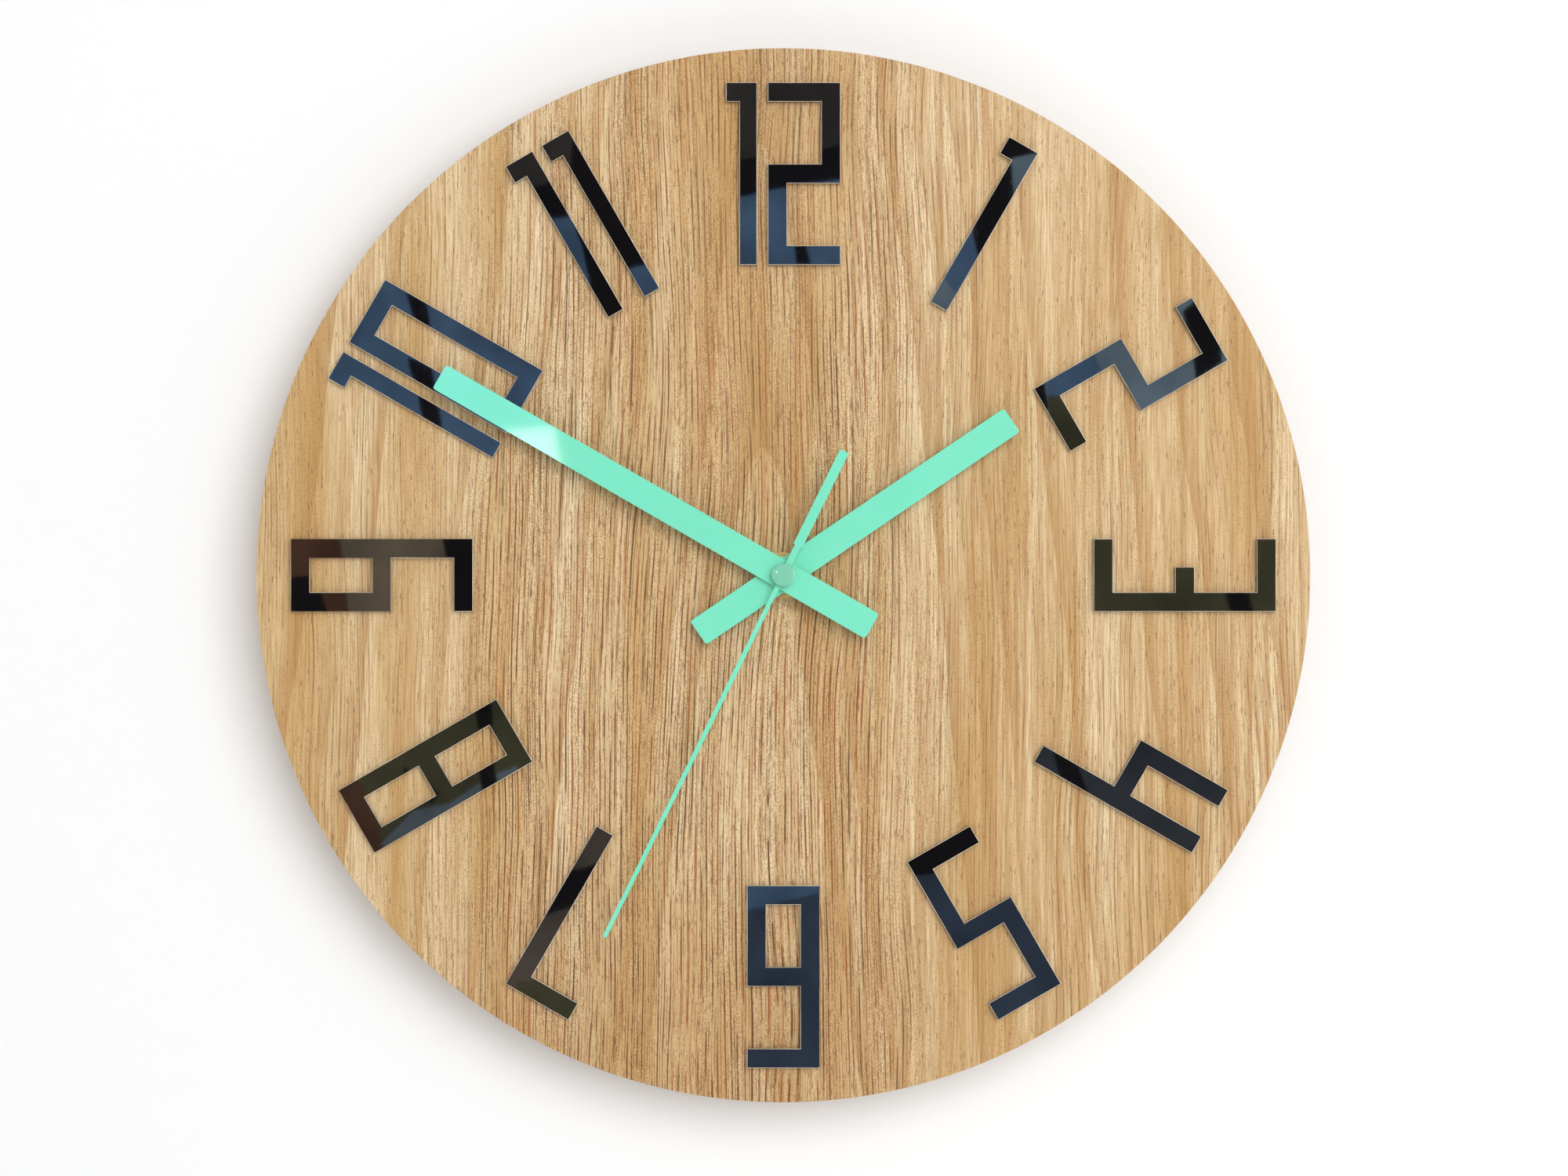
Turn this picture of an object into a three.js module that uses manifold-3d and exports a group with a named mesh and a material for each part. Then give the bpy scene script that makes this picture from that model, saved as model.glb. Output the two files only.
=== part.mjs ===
// Wooden wall clock: a round oak dial with flat mirror-black numerals, three straight hands and
// the quartz movement behind the dial that drives them.
// Lengths are millimetres and angles are degrees. The clock hangs on a wall at y = 0, +Z is up and
// the dial looks along -Y. Every piece is modelled as seen from the front, with x to the right,
// y up and z the distance from the wall, and one group turns that view upright.
import * as THREE from 'three';
import { mergeVertices } from 'three/addons/utils/BufferGeometryUtils.js';
import Module from 'manifold-3d';

const wasm = await Module();
wasm.setup();

// Dial: a plywood disc with a veneer glued on both faces.
const dialRadius = 165;
const boardThickness = 3.4;
const veneerThickness = 0.5;
const glueLine = 0.05;
const dialBoreClearance = 0.3;

// Numerals cut from a sheet and glued on, each with its top outwards.
const numeralHeight = 57;
const numeralWidth = 22.7;
const numeralStrokeWidth = 6;
const numeralThickness = 2;
const numeralRimMargin = 11;
const threeBarLength = 13.9;
const loneOneFlagLength = 4.35;
const pairOneStemWidth = 5.45;
const pairOneFlagLength = 4.2;
const digitGap = 3.4;

// Hands, with their angles clockwise from the top as they are seen.
const hourHand = { length: 86.1, tail: 32.1, width: 8.9, hubRadius: 5.8, angle: 55.84 };
const minuteHand = { length: 123.6, tail: 31.9, width: 8.9, tipWidth: 8.5, angle: 300 };
const secondHand = { length: 125.5, tail: 43, width: 1.45, tipWidth: 1.3, angle: 206.3 };
const secondTail = { start: 10.1, width: 3, neckWidth: 2, cornerRadius: 0.5 };
const handThickness = 0.8;
const secondHandThickness = 0.4;
const handCornerRadius = 1;
const handGap = 1.2;
const handBoreClearance = 0.06;
const capRadius = 3.6;
const capEdge = 0.3;
const capHeight = 1.9;
const pipeWall = 0.6;
const pipeFlangeRadius = 2.2;
const pipeFlangeThickness = 0.3;

// Clamping stack at the middle of the dial.
const bushingRadius = 4;
const bushingFlangeRadius = 6;
const bushingFlangeThickness = 1;
const bushingProud = 0.6;
const threadPitch = 0.75;
const threadDepth = 0.3;
const nutSideCount = 6;
const nutAcrossFlats = 11;
const nutThickness = 2.5;
const washerRadius = 7.2;
const washerThickness = 0.5;
const rubberRadius = 12;
const rubberThickness = 1;
const seatGap = 0.05;
const boreClearance = 0.15;

// Battery cell of the standard AA size, and its bay.
const battery = { length: 50.5, radius: 7.25, nubRadius: 2.75, nubLength: 1, edge: 0.4 };
const batteryPlay = 0.2;
const contactRoom = 1.35;
const contactThickness = 0.4;
const contactHeight = 9;
const contactTailWidth = 3;
const contactPlay = 0.3;
const contactButtonRadius = 2;
const leafThickness = 0.3;

// Movement case.
const caseHeight = 56;
const caseWall = 1.4;
const caseCornerRadius = 3;
const caseFrontThickness = 1.6;
const coverThickness = 1.6;
const coverSeam = 0.15;
const dividerThickness = 1.2;
const wheelRoom = 2.5;
const bossRadius = 1.3;
const bossHeight = 1.2;
const pivotFloor = 0.8;
const pivotReach = 1.6;
const endPlay = 0.2;
const arborPlay = 0.1;
const fingerNotchRadius = 6;
const tabWidth = 5;
const tabThickness = 1;
const tabLength = 1.5;
const tabNib = 0.5;
const tabNibHeight = 0.7;
const tabPlay = 0.15;
const tabOffset = 14;
const motionPostBaseRadius = 1.5;
const motionPostRadius = 0.7;

// Hanger plate, clamped between the case and the dial.
const hangerThickness = 0.8;
const hangerWidth = 44;
const hangerNeckWidth = 26;
const hangerTopWidth = 20;
const hangerFoot = 18;
const hangerBendStart = 30.5;
const hangerBendEnd = 37;
const hangerTop = 52;
const hangerTabDepth = 4;
const hangerCornerRadius = 3;
const nailSlotWidth = 9;
const nailSlotHeight = 6;
const nailSlotBottom = 40.5;
const nailNotchRadius = 1.6;

// Wheel train, from the motor to the hands.
const arborRadius = 0.45;
const secondsArborRadius = 0.4;
const minuteTubeRadius = 1.6;
const hourTubeRadius = 2.5;
const tubePlay = 0.25;
const pressGap = 0.05;
const wheelThickness = 0.6;
const pinionOverhang = 0.3;
const layerGap = 0.4;
const teeth = {
  rotorPinion: 6,
  intermediateWheel: 30,
  intermediatePinion: 6,
  secondsWheel: 36,
  secondsPinion: 6,
  thirdWheel: 45,
  thirdPinion: 6,
  minuteWheel: 48,
  cannonPinion: 10,
  motionWheel: 30,
  motionPinion: 6,
  hourWheel: 24,
  settingPinion: 10,
};
const rotorDistance = 6;
const intermediateDistance = 8.75;
const thirdDistance = 8.5;
const motionDistance = 9;
const rotorDirection = 160;
const intermediateDirection = 180;
const thirdDirection = 0;
const motionDirection = 90;
const settingDirection = 30;
const addendumShare = 0.8;
const dedendumShare = 1.2;
const toothRootShare = 0.27;
const toothTipShare = 0.09;

// Time-setting knob, sunk in a well in the rear cover.
const knobRadius = 5.6;
const knobThickness = 2.4;
const knobDepth = 0.4;
const knobRibCount = 24;
const knobRibHeight = 0.35;
const knobRoom = 1;
const wellWall = 1.2;
const knobShaftRadius = 1;

// Stepping motor: coil, stator and magnet.
const bobbinRadius = 3.6;
const bobbinTubeRadius = 2.1;
const bobbinFlange = 0.8;
const bobbinLength = 17;
const windingRadius = 3.4;
const windingGap = 0.1;
const coreWidth = 3;
const coreClearance = 0.15;
const statorThickness = 0.6;
const statorLegWidth = 6.6;
const statorYokeWidth = 3;
const statorGap = 0.9;
const statorPostRadius = 1.3;
const magnetRadius = 1.9;
const magnetLength = 2.2;
const magnetAirGap = 0.5;

// Circuit board beside the coil.
const circuitStandoff = 0.6;
const circuitThickness = 1;
const circuitGap = 0.2;
const circuitWidth = 8.8;
const circuitEdge = 0.4;
const standoffRadius = 1.5;
const chipSize = 4;
const chipHeight = 1.2;
const chipInset = 5.5;
const crystalRadius = 1;
const crystalLength = 6;
const crystalInset = 9.5;

const overrun = 1;
const discSteps = 80;
const wheelSteps = 10;
const smallSteps = 7;
const cornerSteps = 4;
const wellSteps = 16;

const turn = 2 * Math.PI;
const halfTurnDegrees = 180;
const degree = Math.PI / halfTurnDegrees;

const finishes = {
  oak: { color: 0xcba877, roughness: 0.55, metalness: 0 },
  plywood: { color: 0xb98e5e, roughness: 0.75, metalness: 0 },
  mirrorBlack: { color: 0x10141c, roughness: 0.06, metalness: 0 },
  mintPaint: { color: 0x7de3c4, roughness: 0.35, metalness: 0 },
  brass: { color: 0xb98f45, roughness: 0.3, metalness: 1 },
  steel: { color: 0xa9adb0, roughness: 0.35, metalness: 1 },
  rubber: { color: 0x1b1b1b, roughness: 0.85, metalness: 0 },
  blackPlastic: { color: 0x1d1e20, roughness: 0.5, metalness: 0 },
  whitePlastic: { color: 0xe4e2da, roughness: 0.45, metalness: 0 },
  copper: { color: 0xb5622e, roughness: 0.35, metalness: 1 },
  circuit: { color: 0x2e6b3a, roughness: 0.5, metalness: 0 },
  magnet: { color: 0x55585c, roughness: 0.4, metalness: 1 },
  cell: { color: 0x6d747a, roughness: 0.3, metalness: 0.6 },
};

// Distance of the numerals' middles from the hands, so that they keep their margin to the rim.
const numeralCentreRadius = dialRadius - numeralRimMargin - numeralHeight / 2;

// Depths from the wall, worked out from the back of the case to the cap.
const caseDepth = 2 * battery.radius + 2 * batteryPlay + caseFrontThickness;
const caseFloor = caseDepth - caseFrontThickness;
const hangerBack = caseDepth + seatGap;
const rubberBack = hangerBack + hangerThickness + seatGap;
const backVeneerBack = rubberBack + rubberThickness + seatGap;
const boardBack = backVeneerBack + veneerThickness + glueLine;
const oakBack = boardBack + boardThickness + glueLine;
const dialFront = oakBack + veneerThickness;
const washerBack = dialFront + seatGap;
const nutBack = washerBack + washerThickness + seatGap;
const bushingFront = nutBack + nutThickness + bushingProud;
const hourHandBack = bushingFront + layerGap;
const hourTubeFront = hourHandBack + handThickness + seatGap;
const minuteHandBack = hourHandBack + handThickness + handGap;
const minuteTubeFront = minuteHandBack + handThickness + seatGap;
const pipeBack = minuteTubeFront + layerGap;
const secondHandBack = minuteHandBack + handThickness + handGap;
const secondHandFront = secondHandBack + secondHandThickness;
const capBack = secondHandFront + seatGap;
const capFront = capBack + capHeight;

// Wheel layers, also from the wall.
const trainBack = coverThickness + bossHeight;
const layerStep = wheelThickness + layerGap + pinionOverhang;
const intermediateBack = trainBack + 2 * pinionOverhang;
const secondsBack = intermediateBack + layerStep;
const thirdBack = secondsBack + layerStep;
const minuteBack = thirdBack + layerStep;
const motionBack = minuteBack + layerStep;
const hourBack = motionBack + layerStep;
const trainFront = hourBack + wheelThickness + layerGap;
const motorPlane = coverThickness + circuitStandoff + circuitThickness + circuitGap + bobbinRadius;

// Tooth sizes of each pair from the distance between its two axes.
const moduleOf = (distance, one, other) => 2 * distance / (one + other);
const rotorModule = moduleOf(rotorDistance, teeth.rotorPinion, teeth.intermediateWheel);
const intermediateModule = moduleOf(intermediateDistance, teeth.intermediatePinion, teeth.secondsWheel);
const thirdModule = moduleOf(thirdDistance, teeth.secondsPinion, teeth.thirdWheel);
const minuteModule = moduleOf(thirdDistance, teeth.thirdPinion, teeth.minuteWheel);
const motionModule = moduleOf(motionDistance, teeth.cannonPinion, teeth.motionWheel);
const hourModule = moduleOf(motionDistance, teeth.motionPinion, teeth.hourWheel);
const settingDistance = motionModule * (teeth.motionWheel + teeth.settingPinion) / 2;
const tipRadius = (count, size) => size * (count / 2 + addendumShare);

// Places of the axes, seen from the front.
const awayFrom = (place, distance, direction) => new THREE.Vector2(
  place.x + distance * Math.cos(direction * degree),
  place.y + distance * Math.sin(direction * degree),
);
const handAxis = new THREE.Vector2(0, 0);
const intermediateAxis = awayFrom(handAxis, intermediateDistance, intermediateDirection);
const rotorAxis = awayFrom(intermediateAxis, rotorDistance, rotorDirection);
const thirdAxis = awayFrom(handAxis, thirdDistance, thirdDirection);
const motionAxis = awayFrom(handAxis, motionDistance, motionDirection);
const settingAxis = awayFrom(motionAxis, settingDistance, settingDirection);

// Outline of the case: the battery bay lies below the wheels.
const largestWheelRadius = Math.max(
  tipRadius(teeth.minuteWheel, minuteModule),
  tipRadius(teeth.secondsWheel, intermediateModule),
);
const chamberBottom = -(largestWheelRadius + wheelRoom);
const bayTop = chamberBottom - dividerThickness;
const batteryHeight = bayTop - batteryPlay - battery.radius;
const bayBottom = batteryHeight - battery.radius - batteryPlay;
const caseBottom = bayBottom - caseWall;
const caseTop = caseBottom + caseHeight;
const chamberTop = caseTop - caseWall;
const coilX = rotorAxis.x - statorLegWidth / 2 - statorGap - bobbinRadius;
const chamberHalf = battery.length / 2 + contactRoom;
const caseHalf = chamberHalf + caseWall;
const coverBottom = bayTop;
const coverFront = coverThickness + seatGap;

// Solids: joining and cutting closed meshes.
function toSolid(geometry) {
  const bare = geometry.clone();
  bare.deleteAttribute('normal');
  bare.deleteAttribute('uv');
  const merged = mergeVertices(bare);
  return new wasm.Manifold(new wasm.Mesh({
    numProp: 3,
    vertProperties: Float32Array.from(merged.attributes.position.array),
    triVerts: Uint32Array.from(merged.index.array),
  }));
}

function toGeometry(solid) {
  const mesh = solid.getMesh();
  const geometry = new THREE.BufferGeometry();
  geometry.setAttribute('position', new THREE.BufferAttribute(mesh.vertProperties, mesh.numProp));
  geometry.setIndex(new THREE.BufferAttribute(mesh.triVerts, 1));
  geometry.computeVertexNormals();
  return geometry;
}

function join(...geometries) {
  return toGeometry(geometries.map(toSolid).reduce((whole, next) => whole.add(next)));
}

function cut(body, ...tools) {
  return toGeometry(tools.map(toSolid).reduce((whole, tool) => whole.subtract(tool), toSolid(body)));
}

function common(one, other) {
  return toGeometry(toSolid(one).intersect(toSolid(other)));
}

// Simple shapes, each between two depths.
function plate(shape, back, front, steps = wheelSteps) {
  const settings = { depth: front - back, bevelEnabled: false, curveSegments: steps };
  return new THREE.ExtrudeGeometry(shape, settings).translate(0, 0, back);
}

function circle(radius, place = handAxis) {
  const shape = new THREE.Shape();
  shape.absarc(place.x, place.y, radius, 0, turn, false);
  return shape;
}

function rod(radius, back, front, place = handAxis, steps = wheelSteps) {
  return plate(circle(radius, place), back, front, steps);
}

function ring(outer, inner, back, front, steps = wheelSteps) {
  const shape = circle(outer);
  shape.holes.push(circle(inner));
  return plate(shape, back, front, steps);
}

function block(left, right, bottom, top, back, front) {
  const box = new THREE.BoxGeometry(right - left, top - bottom, front - back);
  return box.translate((left + right) / 2, (bottom + top) / 2, (back + front) / 2);
}

function polygon(points) {
  return new THREE.Shape(points.map(([x, y]) => new THREE.Vector2(x, y)));
}

function roundedRectangle(left, right, bottom, top, radius) {
  const shape = new THREE.Shape();
  shape.absarc(right - radius, top - radius, radius, 0, turn / 4, false);
  shape.absarc(left + radius, top - radius, radius, turn / 4, turn / 2, false);
  shape.absarc(left + radius, bottom + radius, radius, turn / 2, 3 * turn / 4, false);
  shape.absarc(right - radius, bottom + radius, radius, 3 * turn / 4, turn, false);
  shape.closePath();
  return shape;
}

// A profile of [radius, depth] points turned about the hand axis.
function turned(profile, steps) {
  const points = profile.map(([radius, depth]) => new THREE.Vector2(radius, depth));
  const closed = [...points, points[0].clone()];
  return new THREE.LatheGeometry(closed, steps).rotateX(turn / 4);
}

// Toothed outlines and how they mesh.
function toothedOutline(count, size) {
  const pitchAngle = turn / count;
  const tip = tipRadius(count, size);
  const root = size * (count / 2 - dedendumShare);
  const points = [];
  for (let tooth = 0; tooth < count; tooth += 1) {
    const corners = [
      [root, -toothRootShare],
      [tip, -toothTipShare],
      [tip, toothTipShare],
      [root, toothRootShare],
    ];
    corners.forEach(([radius, share]) => {
      const angle = (tooth + share) * pitchAngle;
      points.push([radius * Math.cos(angle), radius * Math.sin(angle)]);
    });
  }
  return polygon(points);
}

function gear(count, size, boreRadius, back, front) {
  const shape = toothedOutline(count, size);
  if (boreRadius > 0) {
    shape.holes.push(circle(boreRadius));
  }
  return plate(shape, back, front, smallSteps);
}

// The turn of a wheel whose teeth stand in the gaps of its driver, whose own turn is given.
function meshedTurn(driverTurn, driverTeeth, wheelTeeth, direction) {
  const line = direction * degree;
  return line + turn / 2 - (driverTeeth / wheelTeeth) * (driverTurn - line) - turn / 2 / wheelTeeth;
}

// Dial.
function makeDisc(back, thickness) {
  const disc = rod(dialRadius, back, back + thickness, handAxis, discSteps);
  const bore = rod(bushingRadius + dialBoreClearance, back - overrun, back + thickness + overrun);
  return cut(disc, bore);
}

// Numerals, drawn with the lower left corner of the digit at 0, 0.
const middleLow = (numeralHeight - numeralStrokeWidth) / 2;
const middleHigh = (numeralHeight + numeralStrokeWidth) / 2;
const innerRight = numeralWidth - numeralStrokeWidth;
const innerTop = numeralHeight - numeralStrokeWidth;

function rectangleHole(left, right, bottom, top) {
  return new THREE.Path([
    new THREE.Vector2(left, bottom),
    new THREE.Vector2(right, bottom),
    new THREE.Vector2(right, top),
    new THREE.Vector2(left, top),
  ]);
}

function makeOne(stem, flag) {
  return polygon([
    [0, numeralHeight],
    [0, innerTop],
    [flag, innerTop],
    [flag, 0],
    [flag + stem, 0],
    [flag + stem, numeralHeight],
  ]);
}

function twoPoints() {
  return [
    [0, 0],
    [numeralWidth, 0],
    [numeralWidth, numeralStrokeWidth],
    [numeralStrokeWidth, numeralStrokeWidth],
    [numeralStrokeWidth, middleLow],
    [numeralWidth, middleLow],
    [numeralWidth, numeralHeight],
    [0, numeralHeight],
    [0, innerTop],
    [innerRight, innerTop],
    [innerRight, middleHigh],
    [0, middleHigh],
  ];
}

function makeFive() {
  return polygon(twoPoints().map(([x, y]) => [numeralWidth - x, y]).reverse());
}

function makeThree() {
  const barLeft = numeralWidth - threeBarLength;
  return polygon([
    [0, 0],
    [numeralWidth, 0],
    [numeralWidth, numeralHeight],
    [0, numeralHeight],
    [0, innerTop],
    [innerRight, innerTop],
    [innerRight, middleHigh],
    [barLeft, middleHigh],
    [barLeft, middleLow],
    [innerRight, middleLow],
    [innerRight, numeralStrokeWidth],
    [0, numeralStrokeWidth],
  ]);
}

function makeFour() {
  return polygon([
    [0, middleLow],
    [innerRight, middleLow],
    [innerRight, 0],
    [numeralWidth, 0],
    [numeralWidth, numeralHeight],
    [innerRight, numeralHeight],
    [innerRight, middleHigh],
    [numeralStrokeWidth, middleHigh],
    [numeralStrokeWidth, numeralHeight],
    [0, numeralHeight],
  ]);
}

function makeSix() {
  const shape = polygon([
    [0, 0],
    [numeralWidth, 0],
    [numeralWidth, middleHigh],
    [numeralStrokeWidth, middleHigh],
    [numeralStrokeWidth, innerTop],
    [numeralWidth, innerTop],
    [numeralWidth, numeralHeight],
    [0, numeralHeight],
  ]);
  shape.holes.push(rectangleHole(numeralStrokeWidth, innerRight, numeralStrokeWidth, middleLow));
  return shape;
}

function makeSeven() {
  return polygon([
    [innerRight, 0],
    [numeralWidth, 0],
    [numeralWidth, numeralHeight],
    [0, numeralHeight],
    [0, innerTop],
    [innerRight, innerTop],
  ]);
}

function makeFrame(...windows) {
  const shape = polygon([
    [0, 0],
    [numeralWidth, 0],
    [numeralWidth, numeralHeight],
    [0, numeralHeight],
  ]);
  windows.forEach(([bottom, top]) => {
    shape.holes.push(rectangleHole(numeralStrokeWidth, innerRight, bottom, top));
  });
  return shape;
}

function makeNine() {
  const shape = polygon([
    [0, 0],
    [numeralWidth, 0],
    [numeralWidth, numeralHeight],
    [0, numeralHeight],
    [0, middleLow],
    [innerRight, middleLow],
    [innerRight, numeralStrokeWidth],
    [0, numeralStrokeWidth],
  ]);
  shape.holes.push(rectangleHole(numeralStrokeWidth, innerRight, middleHigh, innerTop));
  return shape;
}

const pairOneWidth = pairOneStemWidth + pairOneFlagLength;
const widePairHalf = (pairOneWidth + digitGap + numeralWidth) / 2;
const loneOneLeft = -loneOneFlagLength - numeralStrokeWidth / 2;
const eightWindows = [[numeralStrokeWidth, middleLow], [middleHigh, innerTop]];
const ones = () => makeOne(pairOneStemWidth, pairOneFlagLength);
// Each entry: node name, hour, outline, and the x of its left edge beside the line to its hour.
const numerals = [
  ['numeral_1', 1, makeOne(numeralStrokeWidth, loneOneFlagLength), loneOneLeft],
  ['numeral_2', 2, polygon(twoPoints()), -numeralWidth / 2],
  ['numeral_3', 3, makeThree(), -numeralWidth / 2],
  ['numeral_4', 4, makeFour(), -numeralWidth / 2],
  ['numeral_5', 5, makeFive(), -numeralWidth / 2],
  ['numeral_6', 6, makeSix(), -numeralWidth / 2],
  ['numeral_7', 7, makeSeven(), -numeralWidth / 2],
  ['numeral_8', 8, makeFrame(...eightWindows), -numeralWidth / 2],
  ['numeral_9', 9, makeNine(), -numeralWidth / 2],
  ['numeral_10_one', 10, ones(), -widePairHalf],
  ['numeral_10_zero', 10, makeFrame([numeralStrokeWidth, innerTop]), widePairHalf - numeralWidth],
  ['numeral_11_left_one', 11, ones(), -pairOneWidth - digitGap / 2],
  ['numeral_11_right_one', 11, ones(), digitGap / 2],
  ['numeral_12_one', 12, ones(), -widePairHalf],
  ['numeral_12_two', 12, polygon(twoPoints()), widePairHalf - numeralWidth],
];
const hourCount = 12;

// Hands, drawn pointing up from the hand axis.
function roundedOutline(corners, radius) {
  const shape = new THREE.Shape();
  const at = corners.map(([x, y]) => new THREE.Vector2(x, y));
  at.forEach((corner, index) => {
    const before = at[(index + at.length - 1) % at.length].clone().sub(corner).setLength(radius);
    const after = at[(index + 1) % at.length].clone().sub(corner).setLength(radius);
    const start = corner.clone().add(before);
    const end = corner.clone().add(after);
    if (index === 0) {
      shape.moveTo(start.x, start.y);
    } else {
      shape.lineTo(start.x, start.y);
    }
    shape.quadraticCurveTo(corner.x, corner.y, end.x, end.y);
  });
  shape.closePath();
  return shape;
}

const minuteBore = minuteTubeRadius + handBoreClearance;
const hourBore = hourTubeRadius + handBoreClearance;

function makeHourHand() {
  const half = hourHand.width / 2;
  const blade = plate(roundedOutline([
    [-half, -hourHand.tail],
    [half, -hourHand.tail],
    [half, hourHand.length],
    [-half, hourHand.length],
  ], handCornerRadius), 0, handThickness, cornerSteps);
  const hub = rod(hourHand.hubRadius, 0, handThickness, handAxis, wheelSteps);
  const bore = rod(hourBore, -overrun, handThickness + overrun);
  return cut(join(blade, hub), bore);
}

function makeMinuteHand() {
  const half = minuteHand.width / 2;
  const tipHalf = minuteHand.tipWidth / 2;
  const blade = plate(roundedOutline([
    [-half, -minuteHand.tail],
    [half, -minuteHand.tail],
    [tipHalf, minuteHand.length],
    [-tipHalf, minuteHand.length],
  ], handCornerRadius), 0, handThickness, cornerSteps);
  return cut(blade, rod(minuteBore, -overrun, handThickness + overrun));
}

const pipeInner = secondsArborRadius + pressGap;
const pipeOuter = pipeInner + pipeWall;
const secondHubRadius = capRadius - capEdge;

function makeSecondHand() {
  const half = secondHand.width / 2;
  const tipHalf = secondHand.tipWidth / 2;
  const blade = plate(polygon([
    [-half, 0],
    [half, 0],
    [tipHalf, secondHand.length],
    [-tipHalf, secondHand.length],
  ]), 0, secondHandThickness);
  const neck = block(-secondTail.neckWidth / 2, secondTail.neckWidth / 2,
    -secondTail.start - secondTail.cornerRadius, 0, 0, secondHandThickness);
  const weight = plate(roundedRectangle(-secondTail.width / 2, secondTail.width / 2,
    -secondHand.tail, -secondTail.start, secondTail.cornerRadius), 0, secondHandThickness, cornerSteps);
  const hub = rod(secondHubRadius, 0, secondHandThickness);
  const bore = rod(pipeOuter + pressGap, -overrun, secondHandThickness + overrun);
  return cut(join(blade, neck, weight, hub), bore);
}

function makePipe() {
  const flangeBack = secondHandFront + seatGap;
  const flangeFront = flangeBack + pipeFlangeThickness;
  return turned([
    [pipeInner, pipeBack],
    [pipeOuter, pipeBack],
    [pipeOuter, flangeBack],
    [pipeFlangeRadius, flangeBack],
    [pipeFlangeRadius, flangeFront],
    [pipeInner, flangeFront],
  ], 2 * wheelSteps);
}

function makeCap() {
  const recessRadius = pipeFlangeRadius + pressGap;
  const recessFront = secondHandFront + seatGap + pipeFlangeThickness + pressGap;
  return turned([
    [0, capFront],
    [0, recessFront],
    [recessRadius, recessFront],
    [recessRadius, capBack],
    [capRadius, capBack],
    [capRadius, capFront - capEdge],
    [capRadius - capEdge, capFront],
  ], 4 * smallSteps);
}

// Clamping stack.
const bushingBore = hourTubeRadius + tubePlay;
const bushingHole = bushingRadius + boreClearance;

function makeBushing() {
  const flangeFront = caseFloor - seatGap;
  const threadStart = washerBack;
  const grooves = Math.floor((bushingFront - threadStart) / threadPitch);
  const profile = [
    [bushingBore, trainFront],
    [bushingRadius, trainFront],
    [bushingRadius, flangeFront - bushingFlangeThickness],
    [bushingFlangeRadius, flangeFront - bushingFlangeThickness],
    [bushingFlangeRadius, flangeFront],
    [bushingRadius, flangeFront],
    [bushingRadius, threadStart],
  ];
  for (let groove = 0; groove < grooves; groove += 1) {
    const start = threadStart + groove * threadPitch;
    profile.push([bushingRadius - threadDepth, start + threadPitch / 2]);
    profile.push([bushingRadius, start + threadPitch]);
  }
  profile.push([bushingRadius - threadDepth, bushingFront]);
  profile.push([bushingBore, bushingFront]);
  return turned(profile, 2 * smallSteps);
}

function makeNut() {
  const cornerRadius = nutAcrossFlats / 2 / Math.cos(turn / (2 * nutSideCount));
  const corners = Array.from({ length: nutSideCount }, (_, corner) => [
    cornerRadius * Math.cos(corner * turn / nutSideCount),
    cornerRadius * Math.sin(corner * turn / nutSideCount),
  ]);
  const shape = polygon(corners);
  shape.holes.push(circle(bushingHole));
  const hex = plate(shape, nutBack, nutBack + nutThickness);
  const chamfer = nutThickness / 4;
  const dome = turned([
    [0, nutBack],
    [cornerRadius, nutBack],
    [cornerRadius, nutBack + nutThickness - chamfer],
    [cornerRadius - 2 * chamfer, nutBack + nutThickness],
    [0, nutBack + nutThickness],
  ], 2 * wheelSteps);
  return common(hex, dome);
}

// Hanger plate: a bent side profile trimmed to the outline that is seen from the front.
function makeHanger() {
  const bent = [
    [-hangerFoot, hangerBack],
    [hangerBendStart, hangerBack],
    [hangerBendEnd, hangerTabDepth],
    [hangerTop, hangerTabDepth],
  ];
  const front = bent.map(([height, depth]) => [height, depth + hangerThickness]).reverse();
  const profile = polygon([...bent, ...front].map(([height, depth]) => [-depth, height]));
  const bar = plate(profile, -hangerWidth / 2, hangerWidth / 2).rotateY(turn / 4);
  const outline = roundedOutline([
    [-hangerWidth / 2, -hangerFoot],
    [hangerWidth / 2, -hangerFoot],
    [hangerWidth / 2, chamberTop],
    [hangerNeckWidth / 2, hangerBendStart],
    [hangerTopWidth / 2, hangerTop],
    [-hangerTopWidth / 2, hangerTop],
    [-hangerNeckWidth / 2, hangerBendStart],
    [-hangerWidth / 2, chamberTop],
  ], hangerCornerRadius);
  const trimmed = common(bar, plate(outline, -overrun, dialFront, cornerSteps));
  const slotTop = nailSlotBottom + nailSlotHeight;
  const slot = roundedRectangle(-nailSlotWidth / 2, nailSlotWidth / 2, nailSlotBottom, slotTop,
    nailNotchRadius);
  const slotFront = hangerTabDepth + hangerThickness + overrun;
  return cut(
    trimmed,
    plate(slot, hangerTabDepth - overrun, slotFront, cornerSteps),
    rod(nailNotchRadius, hangerTabDepth - overrun, slotFront, new THREE.Vector2(0, slotTop)),
    rod(bushingHole, hangerBack - overrun, hangerBack + hangerThickness + overrun),
  );
}

// Case. The rear cover closes the wheel chamber, and the battery bay stays open at the back.
const tabPlaces = [
  [-tabOffset, chamberTop, 1],
  [tabOffset, chamberTop, 1],
  [-tabOffset / 2, chamberBottom, -1],
  [tabOffset / 2, chamberBottom, -1],
];
const tabFront = coverThickness + tabLength;

function tabWindow([x, wallY, side]) {
  const reach = tabNib + tabPlay;
  return block(x - tabWidth / 2 - tabPlay, x + tabWidth / 2 + tabPlay,
    Math.min(wallY, wallY + side * reach) - (side > 0 ? tabPlay : 0),
    Math.max(wallY, wallY + side * reach) + (side < 0 ? tabPlay : 0),
    tabFront - tabNibHeight - tabPlay, tabFront + tabPlay);
}

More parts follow.
